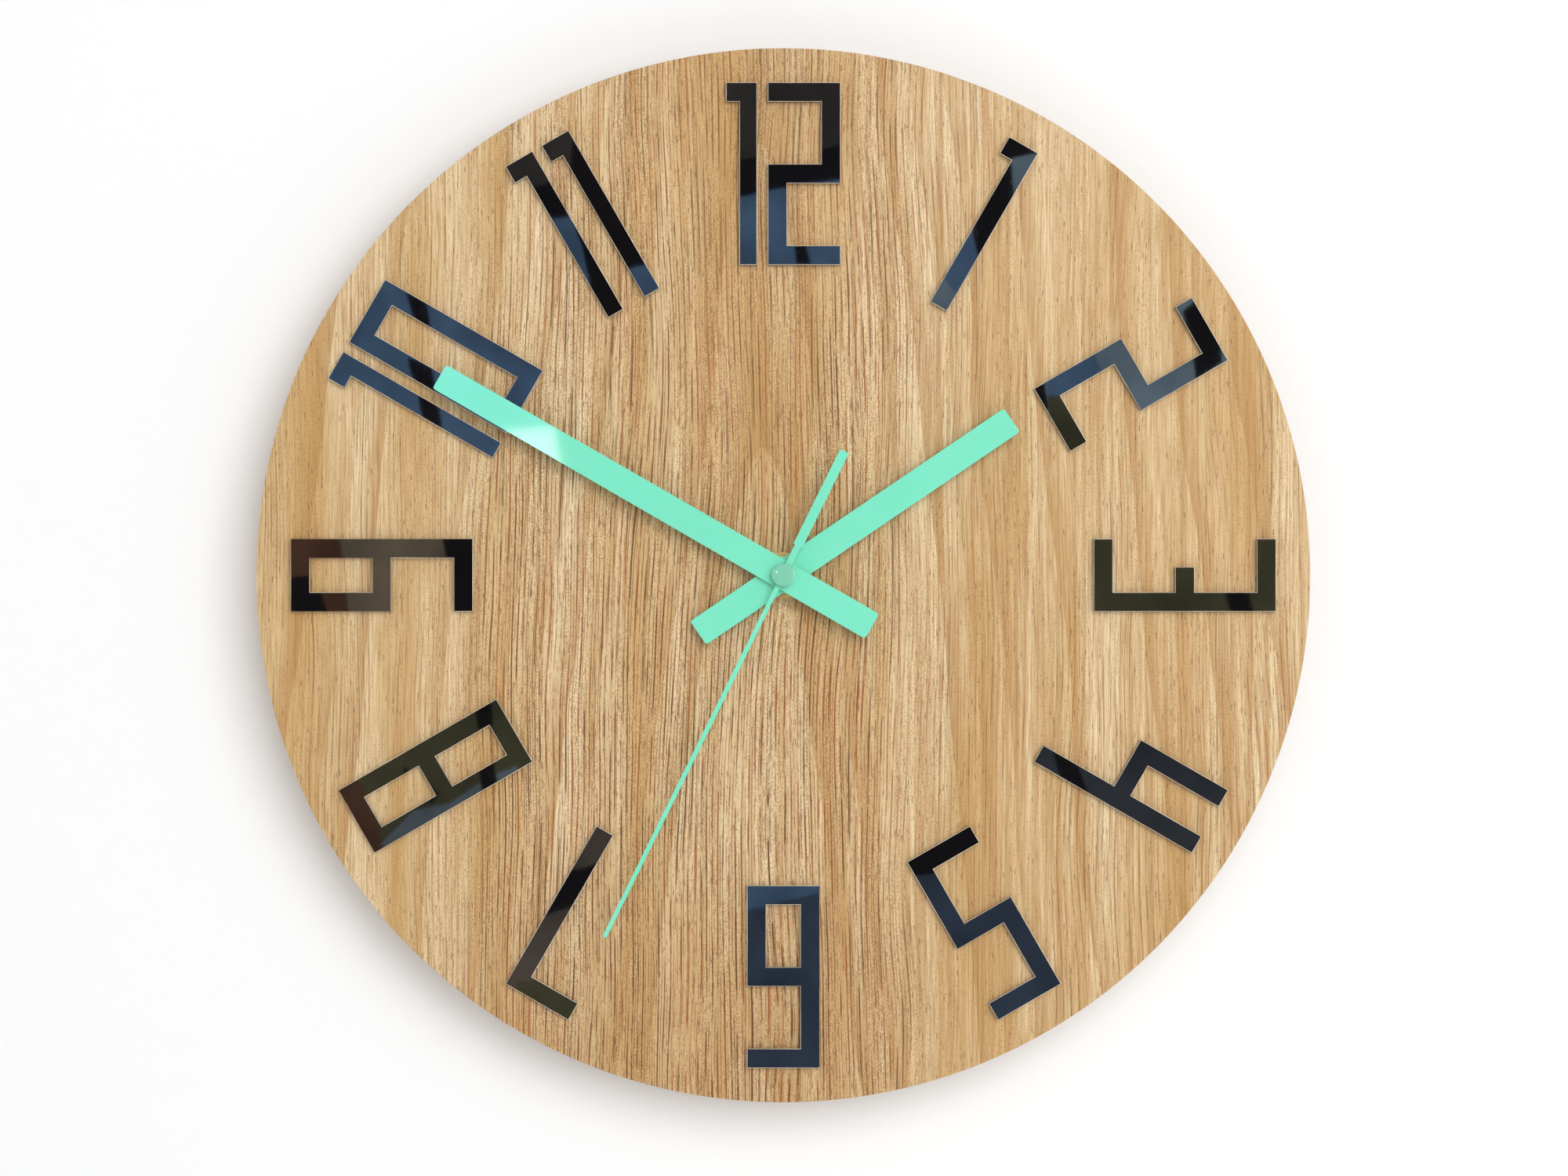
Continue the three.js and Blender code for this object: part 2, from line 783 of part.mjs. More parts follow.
function makeTab([x, wallY, side]) {
  const outer = wallY - side * tabPlay;
  const inner = outer - side * tabThickness;
  const nib = outer + side * tabNib;
  return [
    block(x - tabWidth / 2, x + tabWidth / 2, Math.min(outer, inner), Math.max(outer, inner),
      coverThickness / 2, tabFront),
    block(x - tabWidth / 2, x + tabWidth / 2, Math.min(inner, nib), Math.max(inner, nib),
      tabFront - tabNibHeight, tabFront),
  ];
}

const rotorPinionFront = intermediateBack + wheelThickness + pinionOverhang;
const magnetBack = motorPlane - magnetLength / 2;
const magnetFront = motorPlane + magnetLength / 2;
const settingFront = motionBack + wheelThickness + pinionOverhang;
// Each front bearing: place, shaft radius and the depth where its boss starts.
const frontBearings = [
  [thirdAxis, arborRadius, trainFront],
  [intermediateAxis, arborRadius, trainFront],
  [rotorAxis, arborRadius, magnetFront + layerGap],
  [settingAxis, knobShaftRadius, settingFront + layerGap],
];
const contactSlotBack = coverThickness + circuitStandoff + circuitThickness + seatGap;
const contactSlotFront = contactSlotBack + contactTailWidth;

function statorBolts() {
  const x = rotorAxis.x - statorLegWidth / 2 + statorPostRadius;
  return [
    new THREE.Vector2(x, rotorAxis.y + bobbinLength / 2 + statorYokeWidth / 2),
    new THREE.Vector2(x, rotorAxis.y - bobbinLength / 2 - statorYokeWidth / 2),
  ];
}

function makeFrontCase() {
  const outline = roundedRectangle(-caseHalf, caseHalf, caseBottom, caseTop, caseCornerRadius);
  const shell = cut(
    plate(outline, 0, caseDepth, cornerSteps),
    block(-chamberHalf, chamberHalf, chamberBottom, chamberTop, -overrun, caseFloor),
    block(-chamberHalf, chamberHalf, bayBottom, bayTop, -overrun, caseFloor),
    block(-caseHalf - overrun, caseHalf + overrun, coverBottom, caseTop + overrun, -overrun,
      coverFront),
  );
  const posts = frontBearings.map(([place, radius, back]) => (
    rod(radius + bossRadius - arborRadius, back, caseFloor + caseFrontThickness / 2, place, smallSteps)
  ));
  const motionFront = hourBack + wheelThickness + pinionOverhang + endPlay;
  posts.push(rod(motionPostBaseRadius, motionFront, caseFloor + caseFrontThickness / 2, motionAxis,
    smallSteps));
  posts.push(rod(motionPostRadius, motionBack - endPlay, caseDepth - pivotFloor, motionAxis,
    smallSteps));
  statorBolts().forEach((place) => {
    const back = motorPlane + statorThickness / 2 + seatGap;
    posts.push(rod(statorPostRadius, back, caseFloor + caseFrontThickness / 2, place, smallSteps));
  });
  const holes = frontBearings.map(([place, radius, back]) => (
    rod(radius + arborPlay, back - overrun, back + pivotReach + endPlay, place, smallSteps)
  ));
  holes.push(rod(bushingHole, caseFloor - overrun, caseDepth + overrun));
  const notch = rod(fingerNotchRadius, -caseWall - overrun, caseWall + overrun)
    .rotateX(turn / 4)
    .translate(0, caseBottom, 0);
  const slots = [-1, 1].map((side) => {
    const outer = side * (chamberHalf);
    const inner = side * (chamberHalf - contactThickness - 2 * contactPlay);
    return block(Math.min(outer, inner), Math.max(outer, inner), bayTop - overrun,
      chamberBottom + overrun, contactSlotBack - contactPlay, contactSlotFront + contactPlay);
  });
  return cut(join(shell, ...posts), ...holes, ...slots, notch, ...tabPlaces.map(tabWindow));
}

const wellRadius = knobRadius + knobRibHeight + knobRoom;
const wellDepth = knobDepth + knobThickness + layerGap;
const wellFront = wellDepth + wellWall;
const circuitLeft = coilX - circuitWidth / 2;
const circuitBottom = chamberBottom + circuitEdge;
const circuitTop = chamberTop - circuitEdge;
const standoffPlaces = [
  new THREE.Vector2(coilX, circuitBottom + 2 * standoffRadius),
  new THREE.Vector2(coilX, circuitTop - 2 * standoffRadius),
];

function makeRearCover() {
  const outline = new THREE.Shape();
  outline.moveTo(-caseHalf, coverBottom + coverSeam);
  outline.lineTo(caseHalf, coverBottom + coverSeam);
  outline.absarc(caseHalf - caseCornerRadius, caseTop - caseCornerRadius, caseCornerRadius,
    0, turn / 4, false);
  outline.absarc(caseCornerRadius - caseHalf, caseTop - caseCornerRadius, caseCornerRadius,
    turn / 4, turn / 2, false);
  outline.closePath();
  const axes = [handAxis, intermediateAxis, thirdAxis, rotorAxis];
  const bosses = axes.map((place) => rod(bossRadius, coverThickness / 2, trainBack, place, smallSteps));
  const standoffs = standoffPlaces.map((place) => rod(standoffRadius, coverThickness / 2,
    coverThickness + circuitStandoff - seatGap, place, smallSteps));
  const well = rod(wellRadius + wellWall, coverThickness / 2, wellFront, settingAxis, wellSteps);
  const body = join(plate(outline, 0, coverThickness, cornerSteps), well, ...bosses, ...standoffs,
    ...tabPlaces.flatMap(makeTab));
  const pivots = axes.map((place) => rod(arborRadius + arborPlay, pivotFloor, trainBack + overrun,
    place, smallSteps));
  return cut(
    body,
    rod(wellRadius, -overrun, wellDepth, settingAxis, wellSteps),
    rod(tipRadius(teeth.settingPinion, motionModule) + boreClearance, wellDepth - overrun,
      wellFront + overrun, settingAxis),
    ...pivots,
  );
}

// Battery and its contacts.
function makeBattery() {
  const half = battery.length / 2;
  const shoulder = half - battery.nubLength;
  const inset = battery.radius - battery.edge;
  const points = [
    [0, -half],
    [inset, -half],
    [battery.radius, battery.edge - half],
    [battery.radius, shoulder - battery.edge],
    [inset, shoulder],
    [battery.nubRadius, shoulder],
    [battery.nubRadius, half],
    [0, half],
  ].map(([radius, along]) => new THREE.Vector2(radius, along));
  return new THREE.LatheGeometry(points, 4 * smallSteps).rotateZ(turn / 4);
}

const contactBack = batteryPlay + battery.radius - contactHeight / 2;
const contactFront = contactBack + contactHeight;
const contactBottom = batteryHeight - contactHeight / 2;
const batteryEnd = battery.length / 2 + contactPlay;
const tailTop = chamberBottom + contactTailWidth;

function makePositiveContact() {
  const outer = -chamberHalf + seatGap;
  const inner = outer + contactThickness;
  const button = rod(contactButtonRadius, -batteryEnd - contactThickness - overrun, -batteryEnd,
    handAxis, smallSteps).rotateY(turn / 4).translate(0, batteryHeight, batteryPlay + battery.radius);
  return join(
    block(outer, inner, contactBottom, bayTop, contactBack, contactFront),
    block(outer, inner, bayTop - contactTailWidth, tailTop, contactSlotBack, contactSlotFront),
    block(outer, circuitLeft + contactTailWidth, chamberBottom + circuitEdge + contactPlay,
      tailTop, contactSlotBack, contactSlotBack + contactThickness),
    common(button, block(inner - contactThickness, -batteryEnd, contactBottom, bayTop,
      contactBack, contactFront)),
  );
}

function makeNegativeContact() {
  const outer = chamberHalf - seatGap;
  const inner = outer - contactThickness;
  const middle = batteryPlay + battery.radius;
  const reach = contactHeight / 2 - leafThickness;
  const foot = inner + contactThickness / 2;
  const leaf = plate(polygon([
    [foot, middle - reach],
    [foot, middle - reach + 2 * leafThickness],
    [batteryEnd + leafThickness, middle],
    [foot, middle + reach - 2 * leafThickness],
    [foot, middle + reach],
    [batteryEnd, middle],
  ]), -contactTailWidth / 2, contactTailWidth / 2)
    .rotateX(turn / 4).translate(0, batteryHeight, 0);
  const stripBottom = chamberBottom + seatGap;
  return join(
    block(inner, outer, contactBottom, bayTop, contactBack, contactFront),
    block(inner, outer, bayTop - contactTailWidth, stripBottom + contactThickness, contactSlotBack,
      contactSlotFront),
    block(circuitLeft + circuitWidth - contactTailWidth, outer, stripBottom,
      stripBottom + contactThickness, contactSlotBack, contactSlotFront),
    leaf,
  );
}

// Circuit board with its chip and crystal.
const circuitBack = coverThickness + circuitStandoff;
const circuitFront = circuitBack + circuitThickness;

function makeCircuitBoard() {
  return block(circuitLeft, circuitLeft + circuitWidth, circuitBottom, circuitTop, circuitBack,
    circuitFront);
}

function makeChip() {
  const half = chipSize / 2;
  const y = circuitTop - chipInset + half;
  return block(coilX - half, coilX + half, y - half, y + half, circuitFront + seatGap,
    circuitFront + seatGap + chipHeight);
}

function makeCrystal() {
  const half = crystalLength / 2;
  return rod(crystalRadius, -half, half, handAxis, smallSteps)
    .rotateY(turn / 4)
    .translate(coilX, circuitTop - crystalInset, circuitFront + seatGap + crystalRadius);
}

// Stepping motor.
function aboutCoil(profile) {
  const points = profile.map(([radius, along]) => new THREE.Vector2(radius, along));
  return new THREE.LatheGeometry([...points, points[0].clone()], 2 * wheelSteps)
    .translate(coilX, rotorAxis.y, motorPlane);
}

function makeBobbin() {
  const bore = Math.hypot(coreWidth, statorThickness) / 2 + coreClearance;
  const end = bobbinLength / 2;
  return aboutCoil([
    [bore, -end],
    [bobbinRadius, -end],
    [bobbinRadius, bobbinFlange - end],
    [bobbinTubeRadius, bobbinFlange - end],
    [bobbinTubeRadius, end - bobbinFlange],
    [bobbinRadius, end - bobbinFlange],
    [bobbinRadius, end],
    [bore, end],
  ]);
}

function makeWinding() {
  const end = bobbinLength / 2 - bobbinFlange - windingGap;
  const inner = bobbinTubeRadius + windingGap;
  return aboutCoil([
    [inner, -end],
    [windingRadius, -end],
    [windingRadius, end],
    [inner, end],
  ]);
}

function makeStator() {
  const top = rotorAxis.y + bobbinLength / 2 + statorYokeWidth + coreClearance;
  const bottom = rotorAxis.y - bobbinLength / 2 - statorYokeWidth - coreClearance;
  const left = coilX - coreWidth / 2;
  const right = rotorAxis.x + statorLegWidth / 2;
  const shape = polygon([
    [left, bottom],
    [right, bottom],
    [right, top],
    [left, top],
  ]);
  shape.holes.push(rectangleHole(left + coreWidth, right - statorLegWidth,
    bottom + statorYokeWidth, top - statorYokeWidth));
  shape.holes.push(circle(magnetRadius + magnetAirGap, rotorAxis));
  return plate(shape, motorPlane - statorThickness / 2, motorPlane + statorThickness / 2);
}

// Wheels, each drawn about its own axis.
const pinionRear = (wheelBack) => wheelBack + wheelThickness;
const pinionFront = (wheelBack) => wheelBack + layerStep + wheelThickness + pinionOverhang;
const arborBack = pivotFloor + endPlay;

function makeCompound(wheelTeeth, wheelModule, pinionTeeth, pinionModule, back, front) {
  return join(
    gear(wheelTeeth, wheelModule, 0, back, pinionRear(back)),
    gear(pinionTeeth, pinionModule, 0, pinionRear(back) - pinionOverhang, pinionFront(back)),
    rod(arborRadius, arborBack, front, handAxis, smallSteps),
  );
}

function makeRotorPinion() {
  return join(
    gear(teeth.rotorPinion, rotorModule, 0, intermediateBack - pinionOverhang, rotorPinionFront),
    rod(arborRadius, arborBack, magnetFront + layerGap + pivotReach, handAxis, smallSteps),
  );
}

function makeSecondsWheel() {
  const bore = secondsArborRadius + pressGap;
  return cut(
    join(
      gear(teeth.secondsWheel, intermediateModule, 0, secondsBack, pinionRear(secondsBack)),
      gear(teeth.secondsPinion, thirdModule, 0, pinionRear(secondsBack) - pinionOverhang,
        pinionFront(secondsBack)),
    ),
    rod(bore, secondsBack - overrun, pinionFront(secondsBack) + overrun, handAxis, smallSteps),
  );
}

function makeMinuteTube() {
  const inner = secondsArborRadius + tubePlay;
  const cannonBack = pinionRear(minuteBack);
  return cut(
    join(
      rod(minuteTubeRadius, minuteBack, minuteTubeFront),
      gear(teeth.cannonPinion, motionModule, 0, cannonBack + seatGap, pinionFront(minuteBack)),
    ),
    rod(inner, minuteBack - overrun, minuteTubeFront + overrun, handAxis, smallSteps),
  );
}

function makeHourWheel() {
  return cut(
    join(
      gear(teeth.hourWheel, hourModule, 0, hourBack, hourBack + wheelThickness),
      rod(hourTubeRadius, hourBack, hourTubeFront),
    ),
    rod(minuteTubeRadius + tubePlay, hourBack - overrun, hourTubeFront + overrun),
  );
}

function makeMotionWheel() {
  return cut(
    join(
      gear(teeth.motionWheel, motionModule, 0, motionBack, pinionRear(motionBack)),
      gear(teeth.motionPinion, hourModule, 0, pinionRear(motionBack) - pinionOverhang,
        pinionFront(motionBack)),
    ),
    rod(motionPostRadius + arborPlay, motionBack - overrun, pinionFront(motionBack) + overrun,
      handAxis, smallSteps),
  );
}

function makeSettingPinion() {
  const knobFloor = knobDepth + pivotFloor;
  return join(
    rod(knobShaftRadius, knobFloor + seatGap, settingFront + layerGap + pivotReach, handAxis,
      smallSteps),
    gear(teeth.settingPinion, motionModule, 0, motionBack - pinionOverhang, settingFront),
  );
}

function makeKnob() {
  const shape = new THREE.Shape();
  const points = [];
  for (let rib = 0; rib < knobRibCount; rib += 1) {
    const angle = rib * turn / knobRibCount;
    const next = (rib + 1 / 2) * turn / knobRibCount;
    points.push(new THREE.Vector2(Math.cos(angle), Math.sin(angle))
      .multiplyScalar(knobRadius + knobRibHeight));
    points.push(new THREE.Vector2(Math.cos(next), Math.sin(next)).multiplyScalar(knobRadius));
  }
  shape.setFromPoints(points);
  const knobFront = knobDepth + knobThickness;
  return cut(plate(shape, knobDepth, knobFront), rod(knobShaftRadius + pressGap,
    knobDepth + pivotFloor, knobFront + overrun, handAxis, smallSteps));
}

// The turn of each wheel at rest, from the minute tube outwards and from the minute wheel back.
const motionTurn = meshedTurn(0, teeth.cannonPinion, teeth.motionWheel, motionDirection);
const hourTurn = meshedTurn(motionTurn, teeth.motionPinion, teeth.hourWheel,
  motionDirection + halfTurnDegrees);
const settingTurn = meshedTurn(motionTurn, teeth.motionWheel, teeth.settingPinion, settingDirection);
const thirdTurn = meshedTurn(0, teeth.minuteWheel, teeth.thirdPinion, thirdDirection);
const secondsTurn = meshedTurn(thirdTurn, teeth.thirdWheel, teeth.secondsPinion,
  thirdDirection + halfTurnDegrees);
const intermediateTurn = meshedTurn(secondsTurn, teeth.secondsWheel, teeth.intermediatePinion,
  intermediateDirection);
const rotorTurn = meshedTurn(intermediateTurn, teeth.intermediateWheel, teeth.rotorPinion,
  rotorDirection);

// Assembly.
const frontView = new THREE.Group();
frontView.rotation.x = turn / 4;

function addPiece(name, geometry, finish, place = handAxis, turnedBy = 0, depth = 0) {
  const mesh = new THREE.Mesh(geometry, new THREE.MeshStandardMaterial(finishes[finish]));
  mesh.name = name;
  mesh.position.set(place.x, place.y, depth);
  mesh.rotation.z = turnedBy;
  frontView.add(mesh);
}

addPiece('dial_board', makeDisc(boardBack, boardThickness), 'plywood');
addPiece('oak_veneer', makeDisc(oakBack, veneerThickness), 'oak');
addPiece('back_veneer', makeDisc(backVeneerBack, veneerThickness), 'oak');

const numeralBack = dialFront + glueLine;
numerals.forEach(([name, hour, outline, left]) => {
  const ray = new THREE.Group();
  ray.rotation.z = -hour * turn / hourCount;
  const mesh = new THREE.Mesh(
    plate(outline, 0, numeralThickness),
    new THREE.MeshStandardMaterial(finishes.mirrorBlack),
  );
  mesh.name = name;
  mesh.position.set(left, numeralCentreRadius - numeralHeight / 2, numeralBack);
  ray.add(mesh);
  frontView.add(ray);
});

addPiece('hour_hand', makeHourHand(), 'mintPaint', handAxis, -hourHand.angle * degree, hourHandBack);
addPiece('minute_hand', makeMinuteHand(), 'mintPaint', handAxis, -minuteHand.angle * degree,
  minuteHandBack);
addPiece('second_hand', makeSecondHand(), 'mintPaint', handAxis, -secondHand.angle * degree,
  secondHandBack);
addPiece('second_hand_pipe', makePipe(), 'brass');
addPiece('second_hand_cap', makeCap(), 'mintPaint');

addPiece('brass_washer', ring(washerRadius, bushingHole, washerBack, washerBack + washerThickness,
  2 * wheelSteps), 'brass');
addPiece('hex_nut', makeNut(), 'brass');
addPiece('threaded_bushing', makeBushing(), 'brass');
addPiece('rubber_washer', ring(rubberRadius, bushingHole, rubberBack, rubberBack + rubberThickness),
  'rubber');
addPiece('hanger_plate', makeHanger(), 'steel');
addPiece('front_case', makeFrontCase(), 'blackPlastic');
addPiece('rear_cover', makeRearCover(), 'blackPlastic');

addPiece('battery', makeBattery(), 'cell', new THREE.Vector2(0, batteryHeight), 0,
  batteryPlay + battery.radius);
addPiece('positive_contact', makePositiveContact(), 'steel');
addPiece('negative_contact', makeNegativeContact(), 'steel');
addPiece('circuit_board', makeCircuitBoard(), 'circuit');
addPiece('clock_chip', makeChip(), 'blackPlastic');
addPiece('quartz_crystal', makeCrystal(), 'steel');
addPiece('coil_bobbin', makeBobbin(), 'whitePlastic');
addPiece('coil_winding', makeWinding(), 'copper');
addPiece('stator', makeStator(), 'steel');
addPiece('rotor_magnet', ring(magnetRadius, arborRadius + pressGap, magnetBack, magnetFront,
  smallSteps), 'magnet', rotorAxis);
addPiece('rotor_pinion', makeRotorPinion(), 'whitePlastic', rotorAxis, rotorTurn);

addPiece('intermediate_wheel', makeCompound(teeth.intermediateWheel, rotorModule,
  teeth.intermediatePinion, intermediateModule, intermediateBack, trainFront + pivotReach),
'whitePlastic', intermediateAxis, intermediateTurn);
addPiece('seconds_wheel', makeSecondsWheel(), 'whitePlastic', handAxis, secondsTurn);
addPiece('seconds_arbor', rod(secondsArborRadius, arborBack,
  secondHandFront + seatGap + pipeFlangeThickness, handAxis, smallSteps), 'steel');
addPiece('third_wheel', makeCompound(teeth.thirdWheel, thirdModule, teeth.thirdPinion, minuteModule,
  thirdBack, trainFront + pivotReach), 'whitePlastic', thirdAxis, thirdTurn);
addPiece('minute_wheel', gear(teeth.minuteWheel, minuteModule, minuteTubeRadius + pressGap,
  minuteBack, minuteBack + wheelThickness), 'whitePlastic');
addPiece('minute_tube', makeMinuteTube(), 'whitePlastic');
addPiece('motion_wheel', makeMotionWheel(), 'whitePlastic', motionAxis, motionTurn);
addPiece('hour_wheel', makeHourWheel(), 'whitePlastic', handAxis, hourTurn);
addPiece('setting_pinion', makeSettingPinion(), 'whitePlastic', settingAxis, settingTurn);
addPiece('setting_knob', makeKnob(), 'whitePlastic', settingAxis);

const clock = new THREE.Group();
clock.name = 'wooden_wall_clock';
clock.add(frontView);

export default clock;
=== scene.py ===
"""Looks of the wooden wall clock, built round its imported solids.

Lengths are metres in the frame of the solids: +Z is up, +X is to the right as the dial is read and
the dial faces -Y. Texture patterns are written in millimetres of that frame.
"""

import logging
import math
from collections.abc import Sequence
from dataclasses import dataclass, replace
from enum import Enum
from functools import cached_property

import bmesh
import bpy
import numpy as np
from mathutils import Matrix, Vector


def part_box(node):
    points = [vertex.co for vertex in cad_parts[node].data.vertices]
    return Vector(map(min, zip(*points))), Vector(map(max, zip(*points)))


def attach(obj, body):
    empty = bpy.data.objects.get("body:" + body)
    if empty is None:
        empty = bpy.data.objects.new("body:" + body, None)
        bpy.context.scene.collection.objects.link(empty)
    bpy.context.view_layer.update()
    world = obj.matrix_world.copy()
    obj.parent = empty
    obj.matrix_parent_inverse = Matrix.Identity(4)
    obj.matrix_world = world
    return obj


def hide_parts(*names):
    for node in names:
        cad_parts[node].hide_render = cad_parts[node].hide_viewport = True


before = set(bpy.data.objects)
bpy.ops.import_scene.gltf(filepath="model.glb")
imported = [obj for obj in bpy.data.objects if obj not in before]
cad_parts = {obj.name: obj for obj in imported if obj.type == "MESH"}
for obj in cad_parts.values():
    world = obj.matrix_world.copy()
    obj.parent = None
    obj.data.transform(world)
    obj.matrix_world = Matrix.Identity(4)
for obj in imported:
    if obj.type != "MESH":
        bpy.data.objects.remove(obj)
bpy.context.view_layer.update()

LOG = logging.getLogger("clock")
MM = 0.001
MICRON = 1e-6
POLE = 0.01 * MM  # radius at which a turned outline starts and ends
ROUNDING_STEPS = 4
WHITE = (1.0, 1.0, 1.0, 1.0)

Colour = tuple[int, int, int]
Point = tuple[float, float]
Corner = tuple[float, float, float]
Levels = tuple[float, ...]  # a range of numbers, and what its ends become if not 0 and 1
Socket = bpy.types.NodeSocket
Node = bpy.types.Node
Material = bpy.types.Material
Piece = bpy.types.Object


# Shaders.


def linear(colour: Colour) -> tuple[float, float, float, float]:
    """Turns a colour as seen on screen into the linear colour that shaders use.

    A share of full brightness is divided by 12.92 up to 0.04045. Above that, 0.055 is added, and
    the sum over 1.055 is raised to the power of 2.4.

    Args:
        colour: Red, green and blue from 0 to 255.

    Returns:
        Linear red, green, blue and full alpha.
    """
    shares = np.array(colour) / 255
    curve = np.where(shares <= 0.04045, shares / 12.92, ((shares + 0.055) / 1.055) ** 2.4)
    red, green, blue = curve.tolist()
    return red, green, blue, 1.0


class Graph:
    """Adds and links the nodes of one material or world from short calls."""

    def __init__(self, owner: Material | bpy.types.World) -> None:
        """Turns the nodes on and finds the one that the others lead to.

        Args:
            owner: What the nodes belong to.
        """
        owner.use_nodes = True
        self.tree = owner.node_tree
        self.end = next(node for node in self.tree.nodes if node.type.startswith("OUTPUT"))

    def feed(self, socket: Socket, value: "Value") -> None:
        """Links an input, or sets its own value.

        Args:
            socket: The input to fill.
            value: What is linked to it, or a number or row of numbers to set.
        """
        if isinstance(value, Field):
            value = value.socket
        if isinstance(value, Node):
            value = value.outputs[0]
        if isinstance(value, Socket):
            self.tree.links.new(value, socket)
        else:
            socket.default_value = value

    def node(self, kind: str, *values: "Value", **settings: str) -> Node:
        """Adds a node, sets its options and fills its inputs in order.

        Args:
            kind: Blender's type name of the node, without its first part.
            values: What goes into the inputs, from the first one on.
            settings: Options of the node by name.

        Returns:
            The new node.
        """
        made = self.tree.nodes.new("ShaderNode" + kind)
        for name, setting in settings.items():
            setattr(made, name, setting)
        for socket, value in zip(made.inputs, values, strict=False):
            self.feed(socket, value)
        return made

    def fill(self, node: Node, **values: "Value") -> Node:
        """Fills inputs of a node by name.

        Args:
            node: The node.
            values: What goes into the inputs, named with underscores for spaces.

        Returns:
            The same node.
        """
        for name, value in values.items():
            self.feed(node.inputs[name.replace("_", " ")], value)
        return node

    def show(self, surface: Node) -> None:
        """Leads a shader to the end, and removes the nodes that then lead nowhere.

        Args:
            surface: The shader.
        """
        self.fill(self.end, Surface=surface)
        for node in list(self.tree.nodes):
            if node != self.end and not any(socket.is_linked for socket in node.outputs):
                self.tree.nodes.remove(node)


@dataclass(frozen=True)
class Field:
    """A number that changes over the surface. Its sums and products add Math nodes."""

    graph: Graph
    socket: Socket

    def math(self, operation: str, *others: "Number") -> "Field":
        """Passes this number, with others or alone, through a Math node."""
        made = self.graph.node("Math", self, *others, operation=operation)
        return Field(self.graph, made.outputs[0])

    def __add__(self, other: "Number") -> "Field":
        """Adds a number."""
        return self.math("ADD", other)

    def __sub__(self, other: "Number") -> "Field":
        """Takes a number away."""
        return self.math("SUBTRACT", other)

    def __mul__(self, other: "Number") -> "Field":
        """Multiplies by a number."""
        return self.math("MULTIPLY", other)

    def __truediv__(self, other: "Number") -> "Field":
        """Divides by a number."""
        return self.math("DIVIDE", other)

    def __abs__(self) -> "Field":
        """Drops the sign."""
        return self.math("ABSOLUTE")

    def span(self, *levels: float) -> "Field":
        """Maps a range to another one along a smooth step, without passing its ends."""
        made = self.graph.node("MapRange", self, *levels, interpolation_type="SMOOTHSTEP")
        return Field(self.graph, made.outputs[0])

    def between(self, at_zero: float, at_one: float) -> "Field":
        """Goes smoothly from one number to another as this one goes from 0 to 1."""
        return self.span(0.0, 1.0, at_zero, at_one)

    def centred(self, reach: float) -> "Field":
        """Turns noise from 0 to 1 into a shift to both sides of zero."""
        return (self - 0.5) * reach


Number = Field | Socket | float
Value = Number | Node | Sequence[float]


@dataclass(frozen=True)
class Pattern:
    """Soft noise: waves for each millimetre, finer layers, their strength, and where it shows."""

    waves: float | Corner
    detail: float = 2.0
    roughness: float = 0.5
    levels: Levels = (0.0, 1.0)


@dataclass(frozen=True)
class Dashes:
    """Scattered upright dashes: cells for each millimetre along x and z, and a dash's radius."""

    across: float
    along: float
    radius: float


